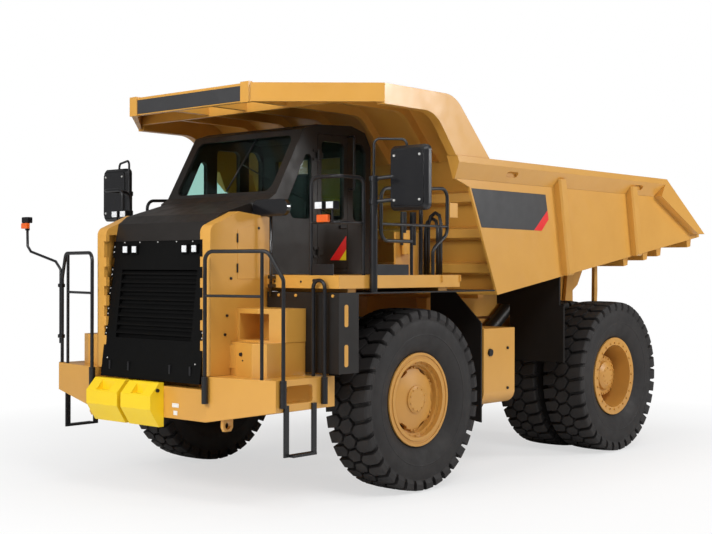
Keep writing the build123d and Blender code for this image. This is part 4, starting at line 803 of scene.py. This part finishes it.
def door_fittings():
    """The coloured corner of the door's lower panel, its handle and the cab's grab bar."""
    face = on_side("cab_door", 1, *DOOR_PANEL)
    for name, outline, material in (("door_corner_red", DECAL_RED, "decal_red"),
                                    ("door_corner_yellow", DECAL_YELLOW, "decal_yellow")):
        bm = bmesh.new()
        side_sheet(bm, outline, 1, face.x, 1.5, 3)
        finish_piece(name, bm, material, "door_left")
    bm = bmesh.new()
    handle = on_side("cab_door", 1, *DOOR_HANDLE)
    add_block(bm, handle + move(-2, -55, -18), handle + move(22, 45, 18), 6)
    finish_piece("door_handle", bm, "rail_black", "door_left")
    bm = bmesh.new()
    foot = on_side("cab_shell", 1, GRAB_BAR_Y, GRAB_BAR_Z[0])
    height = GRAB_BAR_Z[1] - GRAB_BAR_Z[0]
    route = ((-2, 0), (60, 0), (70, 20), (70, height - 20), (60, height), (-2, height))
    add_tube(bm, [foot + move(out, 0, up) for out, up in route], 13)
    finish_piece("cab_grab_bar", bm, "rail_black", "chassis")


WIPER_PIVOT = (300, 2960)
WIPER_TIP = (120, 3480)
BLADE_FOOT = (60, 3180)
BLADE_HEAD = (180, 3760)


def wiper():
    """The windshield's wiper: pivot, arm and blade."""
    bm = bmesh.new()
    pivot = on_front("cab_glass", *WIPER_PIVOT)
    tip = on_front("cab_glass", *WIPER_TIP)
    foot = on_front("cab_glass", *BLADE_FOOT)
    head = on_front("cab_glass", *BLADE_HEAD)
    add_disc(bm, pivot + move(0, 2, 0), (0, -1, 0), 22, 30)
    add_tube(bm, [pivot + move(0, -24, 0), tip + move(0, -20, 0)], 7)
    add_tube(bm, [foot + move(0, -10, 0), head + move(0, -10, 0)], 9)
    finish_piece("windshield_wiper", bm, "rail_black", "chassis")


MIRROR_X = 2310
MIRROR_Z = 3240
ROUND_MIRROR_X = (770, 1270)
ROUND_MIRROR_Z = (2875, 3045)
ROUND_MIRROR_Y = -1450
ROUND_MIRROR_POST = (1006, -1415)
POST_PROBE_Z = 2200
POST_CLAMPS = (2170, 2260)


def mirror_fittings():
    """Raised shells, bolts and panes on the mirror heads, and the round-ended one by the hood."""
    for side, word in SIDES:
        middle = side * MIRROR_X
        face = on_front("mirrors", middle, MIRROR_Z)
        bm = bmesh.new()
        front_sheet(bm, round_outline(middle - 205, middle + 205, MIRROR_Z - 275, MIRROR_Z + 275,
                                      50), face.y, 12, 14)
        finish_piece(f"mirror_shell_{word}", bm, "mirror_black", "chassis")
        bm = bmesh.new()
        for x in (-160, 160):
            for z in (-220, 220):
                add_disc(bm, face + move(x, -10, z), (0, -1, 0), 14, 12, HEX, HEAD_TAPER)
        finish_piece(f"mirror_bolts_{word}", bm, "zinc", "chassis")
        back = on_face("mirrors", spot(middle, 0, MIRROR_Z), (0, -1, 0))
        bm = bmesh.new()
        front_sheet(bm, round_outline(middle - 200, middle + 200, MIRROR_Z - 280, MIRROR_Z + 280,
                                      45), back.y, -3, -5)
        finish_piece(f"mirror_pane_{word}", bm, "mirror_silver", "chassis")
    bm = bmesh.new()
    front_sheet(bm, round_outline(*ROUND_MIRROR_X, *ROUND_MIRROR_Z, 84, 8), at(ROUND_MIRROR_Y),
                0, 50)
    x, y = ROUND_MIRROR_POST
    deck = on_front("deck_platform", x, POST_PROBE_Z)
    add_tube(bm, [spot(x, y, 2060), spot(x, y, 2900)], 16)
    for z in POST_CLAMPS:
        add_block(bm, spot(x - 30, y - 17, z - 18), deck + move(30, 1, z + 18 - POST_PROBE_Z), 3)
    finish_piece("round_mirror", bm, "mirror_black", "chassis")


BOTTLE = (1536, 122, 2500)


def deck_bottle():
    """The small yellow bottle on the left deck's upright plate, with its cap."""
    bm = bmesh.new()
    add_disc(bm, spot(*BOTTLE), (0, 0, 1), 61, 230, FINE_ROUND)
    add_disc(bm, spot(*BOTTLE) + move(0, 0, 230), (0, 0, 1), 30, 30, FINE_ROUND)
    finish_piece("deck_bottle", bm, "body_yellow", "chassis")


TANK_EYE = (1500, 1380)
TANK_PLUGS = ((1850, 950), (1850, 1420))


def tank_fittings():
    """A round black eye and two plugs on each tank's outer side."""
    for side, word in SIDES:
        side_heads(f"tank_eye_{word}", "side_tanks", side, [TANK_EYE], 46, 22, "rail_black",
                   sides=FINE_ROUND)
        side_heads(f"tank_plugs_{word}", "side_tanks", side, TANK_PLUGS, 18, 16, "rail_black",
                   sides=ROUND)


LAMP_ARM = ((-1786, -1983, 1500), (-1786, -1983, 2330), (-1870, -1990, 2420),
            (-2330, -2010, 2535), (-2395, -2010, 2600), (-2400, -2010, 2790))
ARM_CLAMPS = (1580, 2150)


def bent_lamp_arm():
    """The bent arm on the right-hand front rail post, with its lamp and marker."""
    bm = bmesh.new()
    add_tube(bm, [spot(*point) for point in LAMP_ARM], 15)
    for z in ARM_CLAMPS:
        add_block(bm, spot(-1808, -2006, z - 20), spot(-1730, -1960, z + 20), 4)
    add_block(bm, spot(-2465, -2050, 2865), spot(-2345, -1975, 2935), 10)
    add_block(bm, spot(-2420, -2030, 2780), spot(-2380, -1990, 2866), 4)
    finish_piece("bent_lamp_arm", bm, "rail_black", "chassis")
    bm = bmesh.new()
    add_block(bm, spot(-2462, -2058, 2800), spot(-2348, -2012, 2864), 6)
    finish_piece("bent_lamp_marker", bm, "marker_orange", "chassis")


# Place and top of each hose's loop, and the loop's points from there
HOSES = ((1700, 500, 2960), (1640, 520, 2900))
HOSE_FOOT_Z = 2278
HOSE_ROUTE = ((0, 0, -120), (-30, 12, -30), (-90, 20, 0), (-150, 12, -40), (-170, 0, -130))
HOSE_SPAN = 175


def deck_service_parts():
    """The small yellow plate near the left deck's rear rail, and two looped hoses."""
    bm = bmesh.new()
    add_block(bm, spot(1838, 436, 2900), spot(1872, 580, 3060), 4)
    finish_piece("deck_service_plate", bm, "body_yellow", "chassis")
    bm = bmesh.new()
    for x, y, top in HOSES:
        loop = [spot(x + dx, y + dy, top + dz) for dx, dy, dz in HOSE_ROUTE]
        add_tube(bm, [spot(x, y, HOSE_FOOT_Z), *loop, spot(x - HOSE_SPAN, y, HOSE_FOOT_Z)], 19)
    finish_piece("deck_hoses", bm, "rail_black", "chassis")


FLAP_BOLTS = (1120, 1285, 1450, 1615)
FLAP_BOLT_DROP = 60


def mudflap_bolts():
    """A row of bolts along each rear mud flap's head."""
    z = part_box("rear_mudflaps")[1].z / MM - FLAP_BOLT_DROP
    for side, word in SIDES:
        heads(f"mudflap_bolts_{word}", "rear_mudflaps",
              [spot(side * x, REAR_START, z) for x in FLAP_BOLTS], (0, -1, 0), 14, 12,
              "dark_steel", "bed")


SEAT_PADS = (("seat_cushion", (-274, -648, 2650), (274, -114, 2802)),
             ("seat_back", (-264, -132, 2700), (264, 6, 3420)))


def seat_pads():
    """Rounded cushions over the seat's solid, both padded."""
    for name, low, high in SEAT_PADS:
        bm = bmesh.new()
        add_block(bm, spot(*low), spot(*high), 45)
        piece = finish_piece(name, bm, "seat_fabric", "chassis")


PANEL_PROBE = (1900, 2900)
PANEL_DARK = ((861, 3238), (2358, 3235), (2402, 3048), (2112, 2802), (1057, 2809))
PANEL_RED = ((2402, 3048), (2427, 2939), (2277, 2800), (2112, 2802))


def bed_side_panels():
    """The bare dark panel with a red rear corner on each side of the bed."""
    for side, word in SIDES:
        face = on_side("bed_shell", side, *PANEL_PROBE)
        for name, outline, material in (("dark", PANEL_DARK, "visor_black"),
                                        ("red", PANEL_RED, "decal_red")):
            bm = bmesh.new()
            side_sheet(bm, outline, side, face.x, 2, 4)
            finish_piece(f"bed_panel_{name}_{word}", bm, material, "bed")


# Stage, lights and camera

FLOOR_HALF = 60.0
FLOOR_COLOUR = (0.86, 0.86, 0.86, 1.0)
# Distances over which the floor fades, and how much of the white shows at each
FLOOR_FADE = (3.0, 8.0, 0.62, 1.0)


def stage():
    """A pale floor that fades to the white surround."""
    material, tree, shader = new_material("floor_white")
    shader.inputs["Base Color"].default_value = FLOOR_COLOUR
    shader.inputs["Roughness"].default_value = 0.75
    size = FLOOR_HALF
    mesh = bpy.data.meshes.new("floor")
    mesh.from_pydata([(-size, -size, 0), (size, -size, 0), (size, size, 0), (-size, size, 0)], [],
                     [(0, 1, 2, 3)])
    mesh.materials.append(material)
    floor = bpy.data.objects.new("floor", mesh)
    bpy.context.scene.collection.objects.link(floor)
    glow = tree.nodes.new("ShaderNodeEmission")
    glow.inputs["Strength"].default_value = 1.0
    blend = tree.nodes.new("ShaderNodeMixShader")
    coord = tree.nodes.new("ShaderNodeTexCoord")
    length = tree.nodes.new("ShaderNodeVectorMath")
    length.operation = "LENGTH"
    path = tree.nodes.new("ShaderNodeLightPath")
    gate = tree.nodes.new("ShaderNodeMath")
    gate.operation = "MULTIPLY"
    tree.links.new(coord.outputs["Object"], length.inputs[0])
    fade = ramp(tree, length.outputs["Value"], *FLOOR_FADE)
    tree.links.new(fade, gate.inputs[0])
    tree.links.new(path.outputs["Is Camera Ray"], gate.inputs[1])
    tree.links.new(gate.outputs[0], blend.inputs[0])
    tree.links.new(shader.outputs[0], blend.inputs[1])
    tree.links.new(glow.outputs[0], blend.inputs[2])
    out = next(node for node in tree.nodes if node.type == "OUTPUT_MATERIAL")
    tree.links.new(blend.outputs[0], out.inputs[0])


def area_light(name, place, aim, size, power):
    """A rectangular lamp turned towards its aim."""
    light = bpy.data.lights.new(name, "AREA")
    light.shape = "RECTANGLE"
    light.size, light.size_y = size
    light.energy = power
    lamp = bpy.data.objects.new(name, light)
    lamp.location = place
    lamp.rotation_euler = (Vector(aim) - Vector(place)).to_track_quat("-Z", "Y").to_euler()
    bpy.context.scene.collection.objects.link(lamp)


# The white surround as the camera sees it, and as it lights the part
SURROUND_SHOWN = 1.0
SURROUND_LIGHT = 0.24
# Name, place, aim, size and power of each lamp
LAMPS = (("key", (10.0, -7.0, 12.0), (0, 0, 1.5), (5.0, 5.0), 850),
         ("front", (0.5, -14.0, 7.0), (0, -2.0, 1.4), (5.0, 4.0), 900),
         ("side", (9.5, 5.5, 5.5), (1.9, 2.6, 2.7), (2.5, 2.5), 420),
         ("top", (0.0, 1.0, 14.0), (0, 0, 0), (7.0, 7.0), 520))


def surround(tree, strength):
    """A white background of a strength."""
    node = tree.nodes.new("ShaderNodeBackground")
    node.inputs["Strength"].default_value = strength
    node.inputs["Color"].default_value = (1, 1, 1, 1)
    return node


def lights():
    """The surround, bright to the camera and through glass but dim as a light, and the lamps."""
    world = bpy.data.worlds.new("studio")
    bpy.context.scene.world = world
    world.use_nodes = True
    tree = world.node_tree
    tree.nodes.clear()
    out = tree.nodes.new("ShaderNodeOutputWorld")
    shown = surround(tree, SURROUND_SHOWN)
    lit = surround(tree, SURROUND_LIGHT)
    path = tree.nodes.new("ShaderNodeLightPath")
    seen = tree.nodes.new("ShaderNodeMath")
    seen.operation = "MAXIMUM"
    tree.links.new(path.outputs["Is Camera Ray"], seen.inputs[0])
    tree.links.new(path.outputs["Is Transmission Ray"], seen.inputs[1])
    blend = tree.nodes.new("ShaderNodeMixShader")
    tree.links.new(seen.outputs[0], blend.inputs[0])
    tree.links.new(lit.outputs[0], blend.inputs[1])
    tree.links.new(shown.outputs[0], blend.inputs[2])
    tree.links.new(blend.outputs[0], out.inputs[0])
    for lamp in LAMPS:
        area_light(*lamp)


CAMERA_PLACE = (9.9616, FRONT_Y - 10.2431, 2.3497)
CAMERA_YAW = math.radians(41.4742)
CAMERA_PITCH = math.radians(0.0584)
CAMERA_ROLL = math.radians(0.1137)
CAMERA_FOCAL_PIXELS = 1238.43
PHOTO_WIDTH = 712
SENSOR_WIDTH = 36.0


def camera():
    """The camera as fitted to the photograph."""
    forward = Vector((-math.sin(CAMERA_YAW) * math.cos(CAMERA_PITCH),
                      math.cos(CAMERA_YAW) * math.cos(CAMERA_PITCH), math.sin(CAMERA_PITCH)))
    right = forward.cross(Vector((0, 0, 1))).normalized()
    up = right.cross(forward)
    turned_right = right * math.cos(CAMERA_ROLL) + up * math.sin(CAMERA_ROLL)
    turned_up = up * math.cos(CAMERA_ROLL) - right * math.sin(CAMERA_ROLL)
    data = bpy.data.cameras.new("camera")
    data.sensor_width = SENSOR_WIDTH
    data.sensor_fit = "HORIZONTAL"
    data.lens = SENSOR_WIDTH * CAMERA_FOCAL_PIXELS / PHOTO_WIDTH
    view = bpy.data.objects.new("camera", data)
    rows = Matrix((turned_right, turned_up, -forward)).transposed().to_4x4()
    view.matrix_world = Matrix.Translation(CAMERA_PLACE) @ rows
    bpy.context.scene.collection.objects.link(view)
    bpy.context.scene.camera = view


tyres()
wheel_fasteners()
grille_fittings()
hood_fittings()
step_box_fittings()
bumper_fittings()
fender_fittings()
visor_fittings()
deck_lamps()
door_fittings()
wiper()
mirror_fittings()
deck_bottle()
tank_fittings()
bent_lamp_arm()
deck_service_parts()
mudflap_bolts()
seat_pads()
bed_side_panels()
stage()
lights()
camera()
bpy.context.scene.view_settings.view_transform = "Standard"
